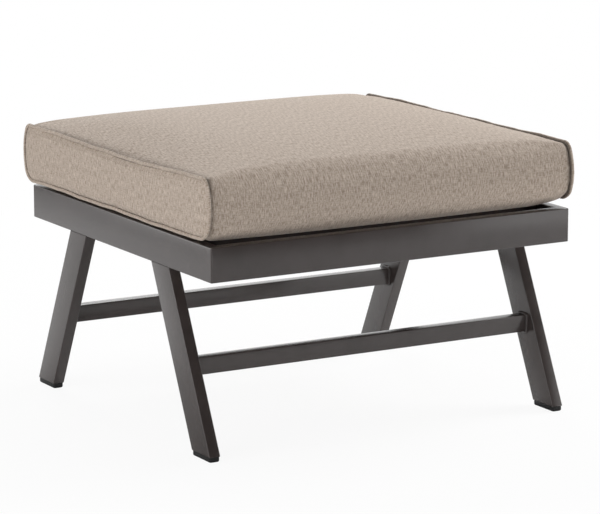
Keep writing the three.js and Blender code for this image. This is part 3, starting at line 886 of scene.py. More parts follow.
def slat_tree():
    group, tree, given = new_geometry_tree("slat_row", {
        "Count": "Int", "Start": "Vector", "Step": "Vector", "Half Length": "Vector",
        "Width": "Float", "Thickness": "Float", "Corner": "Float", "Corner Steps": "Int"})
    section = tree.add("GeometryNodeCurvePrimitiveQuadrilateral", {"mode": "RECTANGLE"},
                       {"Width": given["Width"], "Height": given["Thickness"]})
    rounded = tree.add("GeometryNodeFilletCurve", {"mode": "POLY"}, {
        "Curve": section, "Count": given["Corner Steps"], "Radius": given["Corner"]})
    back = tree.add("ShaderNodeVectorMath", {"operation": "SCALE"},
                    {"Vector": given["Half Length"], "Scale": -1.0})
    line = tree.add("GeometryNodeCurvePrimitiveLine", {"mode": "POINTS"},
                    {"Start": back, "End": given["Half Length"]})
    swept = tree.add("GeometryNodeCurveToMesh",
                     inputs={"Curve": line, "Profile Curve": rounded, "Fill Caps": True})
    places = tree.add("GeometryNodeMeshLine", {"mode": "OFFSET"}, {
        "Count": given["Count"], "Start Location": given["Start"], "Offset": given["Step"]})
    row = tree.add("GeometryNodeInstanceOnPoints", inputs={"Points": places, "Instance": swept})
    close_tree(tree, row, given["Material"])
    return group


def slats():
    names = [f"slat_{n}" for n in range(1, SLAT_COUNT + 1)]
    (first, half), (second, _) = box_of(names[0]), box_of(names[1])
    piece = new_object("slat_row")
    run_tree(piece, slat_tree(), **{
        "Count": SLAT_COUNT, "Start": first, "Step": second - first,
        "Half Length": Vector((half.x, 0, 0)), "Width": 2 * half.y, "Thickness": 2 * half.z,
        "Corner": SLAT_RADIUS, "Corner Steps": CORNER_STEPS, "Material": slat_coat})
    sharpen(piece)
    turn_outwards(piece)
    stand_for(piece, "frame", "slat_coat", *names)


slats()

# %% [markdown]
# ## Screws and rivets
# Pan-head screws with a hexagon socket come up through the angles into the slats, and blind rivets
# hold the angles to the rails. Each kind is turned once as rings round an axis, and a geometry tree
# puts a copy at every place that the frame gives.

# %% One screw and one rivet
ROUND_SIDES = 24
DOME_STEPS = 5
SCREW_RADIUS = 0.0021
SCREW_HEAD_RADIUS = 0.0040
SCREW_HEAD_HEIGHT = 0.0024
SOCKET_RADIUS = 0.0015
SOCKET_DEPTH = 0.0012
SCREW_REACH = 0.0080
SCREW_TIP = 0.0004
HEXAGON = 6
RIVET_RADIUS = 0.0020
RIVET_HEAD_RADIUS = 0.0040
RIVET_HEAD_HEIGHT = 0.0013
MANDREL_RADIUS = 0.0011
MANDREL_DEPTH = 0.0005
RIVET_GRIP = 0.0036
RIVET_BULB_RADIUS = 0.0030
RIVET_BULB_LENGTH = 0.0050
RIVET_TIP = 0.0006


def turned_ring(radius, height, corners=0, sides=ROUND_SIDES):
    """A ring round Z, or a polygon with that inner radius."""
    points = []
    for i in range(sides):
        angle = 2 * math.pi * i / sides
        reach = radius
        if corners:
            part = 2 * math.pi / corners
            reach = radius / math.cos((angle % part) - part / 2)
        points.append((reach * math.cos(angle), reach * math.sin(angle), height))
    return np.array(points)


def dome(rim, top, start, edge=0.0, power=1.0):
    """Radius and height over a head, from a share of its rim at the top down to the rim."""
    return [(rim * (start + (1 - start) * s), top * (edge + (1 - edge) * c ** power))
            for s, c in quarter_turn(DOME_STEPS, 1)]


def turned_template(name, profile, degrees):
    """A piece for a geometry tree to copy, turned from rings of radius and height."""
    piece = new_object(name, *solid([turned_ring(*values) for values in profile]))
    sharpen(piece, degrees)
    return piece


def screw_template():
    top, rim = -SCREW_HEAD_HEIGHT, SCREW_HEAD_RADIUS
    return turned_template("screw_template", [
        (SOCKET_RADIUS * 0.9, top + SOCKET_DEPTH, HEXAGON),
        (SOCKET_RADIUS, top + SOCKET_DEPTH, HEXAGON), (SOCKET_RADIUS, top, HEXAGON),
        (SOCKET_RADIUS * 1.35, top), *dome(rim, top, 0.5, 0.25, 0.7), (rim, 0),
        (SCREW_RADIUS, 0), (SCREW_RADIUS, SCREW_REACH * 0.65), (SCREW_TIP, SCREW_REACH)], 35)


def rivet_template():
    top, grip, bulb = -RIVET_HEAD_HEIGHT, RIVET_GRIP, RIVET_BULB_LENGTH
    return turned_template("rivet_template", [
        (MANDREL_RADIUS * 0.7, top + MANDREL_DEPTH), (MANDREL_RADIUS, top + MANDREL_DEPTH),
        (MANDREL_RADIUS, top), (MANDREL_RADIUS * 1.2, top), *dome(RIVET_HEAD_RADIUS, top, 0.35),
        (RIVET_RADIUS, 0), (RIVET_RADIUS, grip), (RIVET_BULB_RADIUS, grip + bulb / 4),
        (RIVET_BULB_RADIUS, grip + bulb * 3 / 4), (RIVET_TIP, grip + bulb)], 40)


# %% Geometry tree that puts a copy at every point
def copies_tree():
    group, tree, given = new_geometry_tree("copies_on_points", {
        "Piece": "Object", "Turn": "Vector"})
    source = tree.add("GeometryNodeObjectInfo", {"transform_space": "ORIGINAL"},
                      {"Object": given["Piece"]}, output="Geometry")
    points = tree.add("GeometryNodeMeshToPoints", inputs={"Mesh": given["Geometry"]})
    copies = tree.add("GeometryNodeInstanceOnPoints", inputs={
        "Points": points, "Instance": source, "Rotation": given["Turn"]})
    close_tree(tree, copies, given["Material"])
    return group


COPIES_ON_POINTS = copies_tree()


def copies(name, template, places, turn, material):
    """Copies of a template at each place. The template itself goes."""
    piece = new_object(name, places)
    run_tree(piece, COPIES_ON_POINTS, Piece=template, Turn=turn, Material=material)
    bpy.data.meshes.remove(template.data)
    return piece


def screws():
    names = [f"slat_screw_{side}_{n}" for side in SIDES for n in range(1, SLAT_COUNT + 1)]
    places = [(middle.x, middle.y, middle.z - half.z + SCREW_HEAD_HEIGHT)
              for middle, half in map(box_of, names)]
    piece = copies("slat_screws", screw_template(), places, (0, 0, 0), fastener_steel)
    stand_for(piece, "frame", "fastener_steel", *names)


def rivets(side_name, side):
    names = [f"ledge_rivet_{side_name}_{n}" for n in range(1, SLAT_COUNT)]
    places = [(middle.x - side * (half.x - RIVET_HEAD_HEIGHT), middle.y, middle.z)
              for middle, half in map(box_of, names)]
    piece = copies(f"ledge_rivets_{side_name}", rivet_template(), places,
                   (0, side * math.pi / 2, 0), fastener_steel)
    stand_for(piece, "frame", "fastener_steel", *names)


screws()
for side_name, side in SIDES.items():
    rivets(side_name, side)
    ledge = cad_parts[f"slat_ledge_{side_name}"]
    ledge.data.materials.clear()
    ledge.data.materials.append(slat_coat)

# %% [markdown]
# ## The cushion's shape
# The cushion is a foam block in a cover that is cut from one long wrap and two side panels, with
# piping in the side seams. The block crowns the top, the tight side seams hold it down, and the
# front and rear faces bow out. The shape is a row of rounded rectangles across the seat. Each is
# bent by the same few rules: a crown, a bow, a dip of the seam and a groove where the piping sits.

# %% Cushion sizes
SEAM_SIDE = FRAME_SIDE + 0.0034
SEAM_DEPTH = 0.585
SEAM_HEIGHT = 0.0937
SEAM_LIFT = 0.0053
CUSHION_REST = 0.0006
CUSHION_SETBACK = 0.009
CROWN = 0.0225
SEAM_DIP = 0.006
FRONT_BOW = 0.0118
FRONT_BULGE = 0.004
REAR_BOW = 0.011
SIDE_BULGE = 0.0004
DRAW_IN = 0.0015
SEAM_CORNER = 0.010
SEAM_LOW_CORNER = 0.017
MIDDLE_CORNER = 0.026
MIDDLE_LOW_CORNER = 0.007
EDGE_RISE = 0.0105
EDGE_RISE_START = 0.90
SAG_PLACE = -0.045
SAG_REACH = 0.055
SAG_DEPTH = 0.0018
SEAM_RISE = 0.0010
RIGHT_SEAM_RISE = 0.0052
REAR_DROP = 0.0034
REAR_DROP_START = 0.4
CORNER_LIFTS = {1: (0.0060, 0.018, 0.060), -1: (0.0035, 0.006, 0.030)}
CORNER_LIFT_TOP = 0.4
CROWN_ALONG_POWER = 2.7
CROWN_ACROSS_POWER = 5.2
UNDERSIDE_POWER = 6
NEAR_SEAM_POWER = 12
WANDERS = ((0.0006, 31, 40, 0.6), (0.0003, 78, -60, 2.1), (0.0001, 173, 90, 4.0))

PIPING_RADIUS = 0.0027
PIPING_INSET = 0.0014
GROOVE_DEPTH = 0.0038
GROOVE_WIDTH = 0.0045
SHOULDER_PUFF = 0.0014
SHOULDER_FADE = 0.020
ZIP_HALF = 0.0116
ZIP_RECESS = 0.0016

half_depth, half_height = SEAM_DEPTH / 2, SEAM_HEIGHT / 2
cushion_y = FRAME_MIDDLE + CUSHION_SETBACK
cushion_z = RAIL_TOP + SEAM_LIFT + half_height
print("cushion middle", round(cushion_y, 4), round(cushion_z, 4))

# %% The outline of one section
TOP_STEPS = 96
FRONT_STEPS = 12
ARC_STEPS = 4
TOP_COUNT = TOP_STEPS + 2 * ARC_STEPS
FRONT_COUNT = FRONT_STEPS + 2 * ARC_STEPS
RING_COUNT = 2 * (TOP_COUNT + FRONT_COUNT)
BESIDE_ZIP = np.array([0.0115, 0.0124, 0.0145])
REAR_SHARES = np.array([0.3, 0.65, 1.0])


def rear_heights(low_end, high_end):
    """Heights up the rear face, with fixed ones at the zip's slot and beside it."""
    last = BESIDE_ZIP[-1]
    below = -last + (low_end + last) * REAR_SHARES
    above = last + (high_end - last) * REAR_SHARES
    return np.concatenate([below[::-1], -BESIDE_ZIP[::-1], [0], BESIDE_ZIP, above])


def section_outline(inset, radius, low_radius):
    """[y, z] about the cushion's middle: over the top to the front, down, back under and up."""
    far, high = half_depth - inset, half_height - inset
    bend, low = (max(r - inset, 0.001) for r in (radius, low_radius))

    def arc(sy, sz, start):
        turn = bend if sz > 0 else low
        angles = np.radians(start + 45 * np.arange(ARC_STEPS) / ARC_STEPS)
        return np.stack([sy * (far - turn) + turn * np.cos(angles),
                         sz * (high - turn) + turn * np.sin(angles)], 1)

    def line(start, end, shares):
        return np.array(start) + (np.array(end) - np.array(start)) * shares[:-1, None]

    even_top = np.linspace(0, 1, TOP_STEPS + 1)
    even_front = np.linspace(0, 1, FRONT_STEPS + 1)
    rear = rear_heights(low - high, high - bend)[:-1]
    return np.concatenate([
        arc(1, 1, 45), line((far - bend, high), (bend - far, high), even_top), arc(-1, 1, 90),
        arc(-1, 1, 135), line((-far, high - bend), (-far, low - high), even_front),
        arc(-1, -1, 180), arc(-1, -1, 225),
        line((low - far, -high), (far - low, -high), even_top), arc(1, -1, 270),
        arc(1, -1, 315), np.stack([np.full(len(rear), far), rear], 1), arc(1, 1, 0),
    ])


# %% Bending a section
def seam_wander(y, z):
    """A sewn seam is never quite straight: slow waves of about half a millimetre."""
    return sum(height * np.sin(along * y + up * z + phase)
               for height, along, up, phase in WANDERS)


def corner_lift(x, v, w):
    """Both front lower corners curl up, the right one more, clear of the rail."""
    lift = 0
    for side, (height, reach_x, reach_y) in CORNER_LIFTS.items():
        near = ((x - side * SEAM_SIDE) / reach_x) ** 2 + ((v + 1) * half_depth / reach_y) ** 2
        lift = lift + height * np.exp(-near)
    return lift * np.clip((CORNER_LIFT_TOP - w) / (CORNER_LIFT_TOP + 1), 0, 1)


def filled(across, outline, inset, half_width):
    """Points of a section at across, from -1 at the left seam to 1 at the right one."""
    y, z = outline[:, 0], outline[:, 1]
    v, w = y / (half_depth - inset), z / (half_height - inset)
    upper, lower = np.clip(w, 0, 1), np.clip(-w, 0, 1)
    fullness = 1 - abs(across) ** CROWN_ACROSS_POWER
    near_seam = abs(across) ** NEAR_SEAM_POWER
    crown = CROWN * fullness * (1 - np.abs(v) ** CROWN_ALONG_POWER)
    dip = SEAM_DIP * (1 - fullness) * (1 - v * v)
    flatness = (1 - abs(across) ** UNDERSIDE_POWER) * (1 - np.abs(v) ** UNDERSIDE_POWER)
    sink = (SEAM_LIFT - CUSHION_REST) * flatness
    bow = np.where(v < 0, FRONT_BOW + FRONT_BULGE * fullness, REAR_BOW)
    draw_in = DRAW_IN * (1 - np.abs(v) ** 4)
    wander = seam_wander(y, z) * near_seam
    if across < 0:
        sag = np.exp(-((y - SAG_PLACE) / SAG_REACH) ** 2) * upper
        wander = wander - SAG_DEPTH * sag * near_seam
    edge = np.clip((np.abs(v) - EDGE_RISE_START) / (1 - EDGE_RISE_START), 0, 1) ** 1.5
    rise = (EDGE_RISE * fullness * edge * lower + SEAM_RISE * (1 - fullness) * lower
            + RIGHT_SEAM_RISE * max(across, 0) ** 6 * (1 - np.abs(v) ** 3) * upper
            - REAR_DROP * np.clip(v, 0, 1) ** 2
            * np.clip((w - REAR_DROP_START) / (1 - REAR_DROP_START), 0, 1))
    x = across * (half_width - draw_in)
    return np.stack([
        x,
        cushion_y + y + np.sign(v) * np.abs(v) ** 3 * bow * (1 - w * w),
        cushion_z + z + np.where(w > 0, (crown - dip) * w, sink * w) + wander * np.sign(w)
        + rise + corner_lift(x, v, w),
    ], 1)


# %% Stations across the seat
SEAM_STEPS = (0.0, 0.0020, 0.0042, 0.0070, 0.0105, 0.0150, 0.0210)
STATION_STEP = 0.0093


def stations(half_width):
    """Distances from the left seam, close together near both seams."""
    middle = 2 * (half_width - SEAM_STEPS[-1])
    count = round(middle / STATION_STEP)
    inner = SEAM_STEPS[-1] + middle * np.arange(1, count) / count
    near = np.array(SEAM_STEPS)
    return np.concatenate([near, inner, 2 * half_width - near[::-1]])


def corner_radii(across):
    """The radii of the upper and lower corners of a section."""
    fullness = 1 - abs(across) ** CROWN_ACROSS_POWER
    return [seam + (middle - seam) * fullness
            for seam, middle in ((SEAM_CORNER, MIDDLE_CORNER),
                                 (SEAM_LOW_CORNER, MIDDLE_LOW_CORNER))]


def seam_hollow(distance):
    """How far the wrap steps in at a distance from its seam. It rolls over a full shoulder."""
    rolled = math.exp(-(distance / GROOVE_WIDTH) ** 2)
    puffed = math.exp(-distance / SHOULDER_FADE)
    return (GROOVE_DEPTH + SHOULDER_PUFF) * rolled - SHOULDER_PUFF * puffed


# %% [markdown]
# ## One closed body for the cloth to swell
# The wrap and the two side panels start as one closed mesh of quads, so that the cloth simulation
# can blow it up from inside. The last ring of the wrap lies at the bottom of the groove. The panels
# go on from there with a few rings and end in a grid. A map in metres is laid on as it is built.

# %% Build the cushion's mesh
WRAP_SIDE = SEAM_SIDE - PIPING_RADIUS * 0.8
PANEL_RINGS = ((0.0036, 0.0004), (0.0052, 0.0010), (0.0080, 0.0016), (0.0130, 0.0022))
# Painted shade, faint, in the fold on the panel's side of the piping.
PANEL_SHADE = 0.12


def zip_recess(points, outline):
    """Steps the cover back where the zip lies in the rear face."""
    rear = (outline[:, 0] > 0) & (np.abs(outline[:, 1]) < ZIP_HALF)
    points[:, 1] -= ZIP_RECESS * rear
    return points


def wrap_rings():
    rings, maps, distances = [], [], []
    for place in stations(WRAP_SIDE):
        across = place / WRAP_SIDE - 1
        distance = min(place, 2 * WRAP_SIDE - place)
        inset = seam_hollow(distance)
        outline = section_outline(inset, *corner_radii(across))
        points = zip_recess(filled(across, outline, inset, WRAP_SIDE), outline)
        step = np.linalg.norm(np.diff(outline, axis=0), axis=1)
        rings.append(points)
        run = np.concatenate([[0], np.cumsum(step)])
        maps.append(np.stack([np.full(len(points), place), run], 1))
        distances.append(np.full(len(points), distance))
    return rings, maps, distances


def panel_ring(side, inset, puff):
    outline = section_outline(inset, SEAM_CORNER, SEAM_LOW_CORNER)
    points = filled(side, outline, inset, SEAM_SIDE)
    points[:, 0] += side * puff
    return points


def panel_grid(side, rim):
    """Fills a ring with a grid whose edges are the ring's four sides, and swells it."""
    n, m = TOP_COUNT, FRONT_COUNT
    top, front = rim[:n + 1], rim[n:n + m + 1]
    bottom = rim[n + m:2 * n + m + 1][::-1]
    rear = np.concatenate([rim[2 * n + m:], rim[:1]])[::-1]
    s = np.linspace(0, 1, n + 1)[:, None, None]
    t = np.linspace(0, 1, m + 1)[None, :, None]
    grid = (top[:, None] * (1 - t) + bottom[:, None] * t + rear[None] * (1 - s) + front[None] * s
            - (top[0] * (1 - s) * (1 - t) + top[-1] * s * (1 - t)
               + bottom[0] * (1 - s) * t + bottom[-1] * s * t))
    swell = (1 - np.abs(2 * t - 1) ** 2.5) * (1 - np.abs(2 * s - 1) ** 12)
    grid[:, :, 0] += side * (SIDE_BULGE - PANEL_RINGS[-1][1]) * swell[:, :, 0]
    return grid


def grid_number(i, j, rim_start, inner_start):
    """The number of a grid point: those on its edge are the rim's."""
    n, m = TOP_COUNT, FRONT_COUNT
    if j == 0:
        return rim_start + i
    if i == n:
        return rim_start + n + j
    if j == m:
        return rim_start + 2 * n + m - i
    if i == 0:
        return rim_start + (2 * n + 2 * m - j) % RING_COUNT
    return inner_start + (i - 1) * (m - 1) + j - 1


SEAM_TURNS = 2 * math.pi * np.arange(RING_COUNT) / RING_COUNT
# Painted shade beside the piping: its width, wider on the left of the top, and a soft share in the
# valley beside the seam.
SHADE_WIDTH = 0.0021
TOP_SHADE_WIDTH = 0.0056
VALLEY_SHADE = 0.20
VALLEY_WIDTH = 0.011
TOP_LEFT_EDGE = 0.75
CLOSING_STEP = 0.005


class CushionMesh:
    """Collects points, faces and the cloth map of the cushion's body."""

    def __init__(self):
        self.points, self.faces, self.maps = [], [], []
        self.noted = {"seam_distance": [], "seam_turn": [], "seam_shade": []}

    def add_points(self, points, distance, turns=0.0, shade=0.0):
        first = len(self.points)
        self.points += list(points)
        for label, value in zip(self.noted, (distance, turns, shade)):
            self.noted[label] += list(np.broadcast_to(value, len(points)))
        return first

    def add_face(self, corners, places):
        self.faces.append(corners)
        self.maps += [tuple(p) for p in places]


def add_panel(body, side, edge_start):
    def panel_map(number):
        point = body.points[number]
        return side * point[1], point[2]

    start = edge_start
    for inset, puff in PANEL_RINGS:
        past = inset - PIPING_INSET - PIPING_RADIUS
        # Painted shade in the fold on the panel's side of the piping.
        shade = PANEL_SHADE * math.exp(-(past / SHADE_WIDTH) ** 2)
        ring = body.add_points(panel_ring(side, inset, puff), inset, SEAM_TURNS, shade)
        for corners in between(start, ring, RING_COUNT):
            body.add_face(corners, [panel_map(c) for c in corners])
        start = ring
    rim = np.array(body.points[start:start + RING_COUNT])
    grid = panel_grid(side, rim)
    inner = body.add_points(grid[1:-1, 1:-1].reshape(-1, 3), half_height)
    for i in range(TOP_COUNT):
        for j in range(FRONT_COUNT):
            corners = tuple(grid_number(a, b, start, inner)
                            for a, b in ((i, j), (i + 1, j), (i + 1, j + 1), (i, j + 1)))
            body.add_face(corners, [panel_map(c) for c in corners])


def painted_wrap_shade(ring, distance):
    """Painted shade: dark in the fold at the seam, wider on the left of the top, and a little
    beside it.
    """
    height = (ring[:, 2] - cushion_z) / half_height
    top_left = np.clip((height - TOP_LEFT_EDGE) / (1 - TOP_LEFT_EDGE), 0, 1) * (ring[:, 0] < 0)
    width = SHADE_WIDTH + (TOP_SHADE_WIDTH - SHADE_WIDTH) * top_left
    return (np.exp(-(distance / width) ** 2)
            + VALLEY_SHADE * np.exp(-(distance / VALLEY_WIDTH) ** 2))


def build_cushion():
    body = CushionMesh()
    rings, maps, distances = wrap_rings()
    starts = [body.add_points(ring, distance, SEAM_TURNS, painted_wrap_shade(ring, distance))
              for ring, distance in zip(rings, distances)]
    for k in range(len(rings) - 1):
        for i, corners in enumerate(between(starts[k], starts[k + 1], RING_COUNT)):
            (here, run), (there, _) = maps[k][i], maps[k + 1][i]
            j = (i + 1) % RING_COUNT
            run_on = maps[k][j][1] if j else run + CLOSING_STEP
            body.add_face(corners, [(here, run), (here, run_on), (there, run_on), (there, run)])
    add_panel(body, -1, starts[0])
    add_panel(body, 1, starts[-1])
    return body


body = build_cushion()
cushion = new_object("cushion_cover", body.points, body.faces, cover_cloth)
lay_map(cushion, body.maps)
for label, values in body.noted.items():
    note(cushion, label, values)
with edited(cushion) as work:
    bmesh.ops.recalc_face_normals(work, faces=work.faces)
    print("open edges", sum(1 for e in work.edges if len(e.link_faces) != 2),
          "volume in litres", round(work.calc_volume(signed=True) * 1000, 2))

# %% [markdown]
# ## A pass with cloth
# A foam block pushes its cover tight, and the cover holds at its seams and at the zip. Here the
# mesh starts a little slack inside its final size and is blown up as a cloth with pressure, with
# the seams and the zip held. How far each point moves is limited, so the cushion keeps its size.

# %% Swell the cover
CLOTH_FRAMES = 20
CLOTH_QUALITY = 6
CLOTH_PRESSURE = 4.0
CLOTH_MASS = 0.3
CLOTH_TENSION = 25
CLOTH_BENDING = 2.5
LARGEST_SWELL = 0.0035
HOLD_REACH = 0.0175
ON_SEAM = 1e-5


def sewn_points(piece):
    """The bottom of the groove, the zip's slot and the cloth that is folded in beside it."""
    places = points_of(piece)
    rear = places[:, 1] > cushion_y + half_depth
    rear &= np.abs(places[:, 2] - cushion_z) < HOLD_REACH
    return np.nonzero((attribute_of(piece, "seam_distance") < ON_SEAM) | rear)[0]


def blown_up(piece):
    """Where the cover's points lie after the cloth simulation."""
    sewn = piece.vertex_groups.new(name="sewn")
    sewn.add(sewn_points(piece).tolist(), 1.0, "REPLACE")
    cloth = piece.modifiers.new("cloth", "CLOTH")
    settings = cloth.settings
    settings.quality = CLOTH_QUALITY
    settings.mass = CLOTH_MASS
    settings.tension_stiffness = settings.compression_stiffness = CLOTH_TENSION
    settings.shear_stiffness = CLOTH_TENSION / 2
    settings.bending_stiffness = CLOTH_BENDING
    settings.use_pressure = True
    settings.uniform_pressure_force = CLOTH_PRESSURE
    settings.effector_weights.gravity = 0
    settings.vertex_group_mass = sewn.name
    cloth.collision_settings.use_collision = False
    cloth.point_cache.frame_start, cloth.point_cache.frame_end = 1, CLOTH_FRAMES
    for number in range(1, CLOTH_FRAMES + 1):
        scene.frame_set(number)
    graph = bpy.context.evaluated_depsgraph_get()
    places = numbers_of(piece.evaluated_get(graph).to_mesh().vertices, "co")
    piece.evaluated_get(graph).to_mesh_clear()
    piece.modifiers.clear()
    piece.vertex_groups.clear()
    scene.frame_set(1)
    return places


def limited(start, end, largest):
    """Moves from start towards end, with long moves drawn in to the largest one."""
    move = end - start
    length = np.linalg.norm(move, axis=1, keepdims=True)
    share = largest * np.tanh(length / largest) / np.maximum(length, 1e-9)
    moved = start + move * share
    moved[:, 2] = np.maximum(moved[:, 2], RAIL_TOP + CUSHION_REST)
    return moved


at_rest = points_of(cushion)
swollen = blown_up(cushion)
print("largest swell in mm", round(float(np.abs(swollen - at_rest).max()) * 1000, 2))
set_points(cushion, limited(at_rest, swollen, LARGEST_SWELL))

# %% Subdivide once
smoother = cushion.modifiers.new("smoother", "SUBSURF")
smoother.levels = smoother.render_levels = 1
keep_result(cushion)
cushion.data.polygons.foreach_set("use_smooth", [True] * len(cushion.data.polygons))
print("cushion faces", len(cushion.data.polygons))

# %% [markdown]
# ## Gathers along the seams
# Where cloth is eased into a piped seam it gathers in small puckers that fade within two fingers'
# width. They are waves along the seam, of several lengths that don't repeat together, and their
# height falls away with the distance from the seam.

# %% Gathers and dimple
GATHER_HEIGHT = 0.00020
GATHER_START = 0.004
GATHER_FADE = 0.016
GATHERS = ((130, 0.3, 1.0), (178, 1.9, 0.7), (92, 4.0, 0.8), (58, 2.6, 0.9))
RIGHT_SEAM_PHASE = 1.7
DIMPLE_PLACE = (-0.300, -0.044)
DIMPLE_DEPTH = 0.0030
DIMPLE_REACH = (0.012, 0.030)


def gathers(piece):
    distance, turn = attribute_of(piece, "seam_distance"), attribute_of(piece, "seam_turn")
    places = points_of(piece)
    side = np.where(places[:, 0] < 0, 0.0, RIGHT_SEAM_PHASE)
    wave = sum(share * np.sin(count * turn + phase + side) for count, phase, share in GATHERS)
    rise = np.clip(distance / GATHER_START, 0, 1)
    height = GATHER_HEIGHT * wave * rise * np.exp(-distance / GATHER_FADE)
    near = (distance < 4 * GATHER_FADE) & (turn > 0)
    set_points(piece, places + normals_of(piece) * (height * near)[:, None])


def dimple(piece):
    """The hollow that shows on the top just behind the left seam."""
    places = points_of(piece)
    across = (places[:, 0] - DIMPLE_PLACE[0]) / DIMPLE_REACH[0]
    along = (places[:, 1] - DIMPLE_PLACE[1]) / DIMPLE_REACH[1]
    top = np.clip((places[:, 2] - cushion_z) / half_height, 0, 1) ** 2
    places[:, 2] -= DIMPLE_DEPTH * np.exp(-(across ** 2 + along ** 2)) * top
    set_points(piece, places)


gathers(cushion)
dimple(cushion)
stand_for(cushion, "cushion", "cover_fabric",
          "foam_core", "cover_wrap", "cover_side_left", "cover_side_right")

# %% [markdown]
# ## Piping
# A strip of the cover cloth is folded round a cord and sewn into each side seam. The cord follows
# the seam's line with its small waves, and its thickness varies a little where the strip gathers.

# %% Piping
PIPING_STEP = 0.0024
PIPING_CORD = {"Radius": PIPING_RADIUS, "Sides": 16, "Wave Length": 0.0173, "Wave Share": 0.015,
               "Rough Length": 0.011, "Rough Share": 0.12}
# Painted shade on the piping: the side of the cord that faces into the fold beside the wrap is
# darkened.
FOLD_START = 0.30
FOLD_RANGE = 0.5
FOLD_TURN = 0.6
FOLD_TURN_POWER = 9


def paint_fold_shade(piece, side):
    """Paints shade on the part of the cord that lies in the fold beside the wrap."""
    places = (points_of(piece) - [0, cushion_y, cushion_z]) / [1, half_depth, half_height]
    out = FOLD_TURN * places ** FOLD_TURN_POWER
    out[:, 0] = side
    out /= np.linalg.norm(out, axis=1, keepdims=True)
    facing = (normals_of(piece) * out).sum(1)
    note(piece, "seam_shade", np.clip((FOLD_START - facing) / FOLD_RANGE, 0, 1))


def piping(side_name, side):
    outline = section_outline(PIPING_INSET, SEAM_CORNER, SEAM_LOW_CORNER)
    line = filled(side, outline, PIPING_INSET, SEAM_SIDE)
    piece = cord_on_loop(f"piping_{side_name}", resampled(line, PIPING_STEP), cover_cloth,
                         PIPING_CORD)
    paint_fold_shade(piece, side)
    stand_for(piece, "cushion", "cover_fabric", f"cover_piping_{side_name}")


for side_name, side in SIDES.items():
    piping(side_name, side)

# %% [markdown]
# ## The zip
# The cover comes off through a zip in the rear face. Its tape is a closed woven strip whose edges
# lie under the cover's turned edges. Two rows of nylon coil stand on it and mesh. A metal stop
# closes each end, and a row of stitches on each side holds the tape to the cover.

# %% Zip materials
TAPE_TONES = ((0.105, 0.085, 0.068), (0.150, 0.125, 0.102), (0.200, 0.170, 0.140))
TAPE_SLUB_SHARE = 0.3
COIL_TONES = ((0.090, 0.074, 0.060), (0.150, 0.126, 0.104))
ENAMEL_TONES = ((0.050, 0.046, 0.042), (0.075, 0.069, 0.064))
THREAD_TONES = ((0.360, 0.290, 0.230), (0.560, 0.470, 0.390))
THREAD_STOPS = (0.3, 0.7)
THREAD_ROUGHNESS = (0.2, 0.55)
THREAD_RELIEF = (0.00004, 0.6)
STRANDS_PER_METRE = 9000
STRAND_SLANT = 0.6
FUZZ_PER_METRE = 2400
FUZZ_SHARE = 0.4


def sewing_thread(name, tones):
    """Twisted polyester thread: dark and light strands that wind round it, and a dull sheen."""
    material, tree = new_material(name)
    x, y = split(tree, object_place(tree))
    strand = sine((x + y * STRAND_SLANT) * STRANDS_PER_METRE) * 0.5 + 0.5
    fuzz = noise(tree, object_place(tree), FUZZ_PER_METRE)
    tone = strand * (1 - FUZZ_SHARE) + fuzz * FUZZ_SHARE
    by_fuzz, least = THREAD_ROUGHNESS
    finish_material(tree, {"Specular IOR Level": 0.3, "Sheen Weight": 0.1},
                    ramp(tree, tone, THREAD_STOPS, tones), fuzz * by_fuzz + least,
                    bump(tree, strand, *THREAD_RELIEF))
    return material


tape_cloth = woven("tape_cloth", TAPE_TONES, TAPE_SLUB_SHARE)
coil_nylon = grained("coil_nylon", COIL_TONES, **PLASTIC)
zip_enamel = powder_coat("zip_enamel", ENAMEL_TONES)
thread = sewing_thread("thread", THREAD_TONES)
print("zip materials", [m.name for m in (tape_cloth, coil_nylon, zip_enamel, thread)])

# %% Zip tape
ZIP_FACE = cushion_y + half_depth + REAR_BOW
TAPE_END = 0.3040
TAPE_BACK = 0.0017
TAPE_HALF = ((0.0004, -0.0001), (0.0031, -0.0001), (0.0036, -0.0004), (0.0070, -0.0004),
             (0.0100, -0.0006), (0.0114, -0.0012))
TAPE_SECTION = (*((-z, y) for z, y in reversed(TAPE_HALF)), (0.0, -0.0004), *TAPE_HALF)
TAPE_STATIONS = 160


def tape_ring(x):
    """The tape's section at x. It steps in with the groove at the side seams."""
    step_in = seam_hollow(WRAP_SIDE - abs(x))
    face = [(x, ZIP_FACE + y - step_in, cushion_z + z) for z, y in TAPE_SECTION]
    back = [(x, ZIP_FACE - TAPE_BACK - step_in, cushion_z + z)
            for z, y in reversed(TAPE_SECTION)]
    return np.array(face + back)


def zip_tape():
    rings = [tape_ring(x) for x in np.linspace(-TAPE_END, TAPE_END, TAPE_STATIONS)]
    piece = new_object("zip_tape_strip", *solid(rings), tape_cloth)
    sharpen(piece, 50)
    corners = [loop.vertex_index for loop in piece.data.loops]
    lay_map(piece, points_of(piece)[corners][:, [0, 2]])
    stand_for(piece, "cushion", "zip_tape", "zip_tape")


zip_tape()

# %% Zip coil and stops
ZIP_HALF_LENGTH = 0.250
STOP_LENGTH = 0.004
STOP_HALF = 0.0030
STOP_TOP = 0.0024
STOP_ROUND = 0.0006
STOP_BEVEL = 0.0002
STOP_SECTIONS = ((0, STOP_ROUND), (0.08, STOP_BEVEL), (0.2, 0), (0.8, 0), (0.92, STOP_BEVEL),
                 (1, STOP_ROUND))
COIL_PITCH = 0.0015
ROD_SIDES = 8
COIL_RADIUS = 0.00056
COIL_REACH = 0.00150
COIL_MIDDLE = 0.00140
COIL_LIFT = 0.00045
CAPSULE_RINGS = 3
CAPSULE_START = 0.3


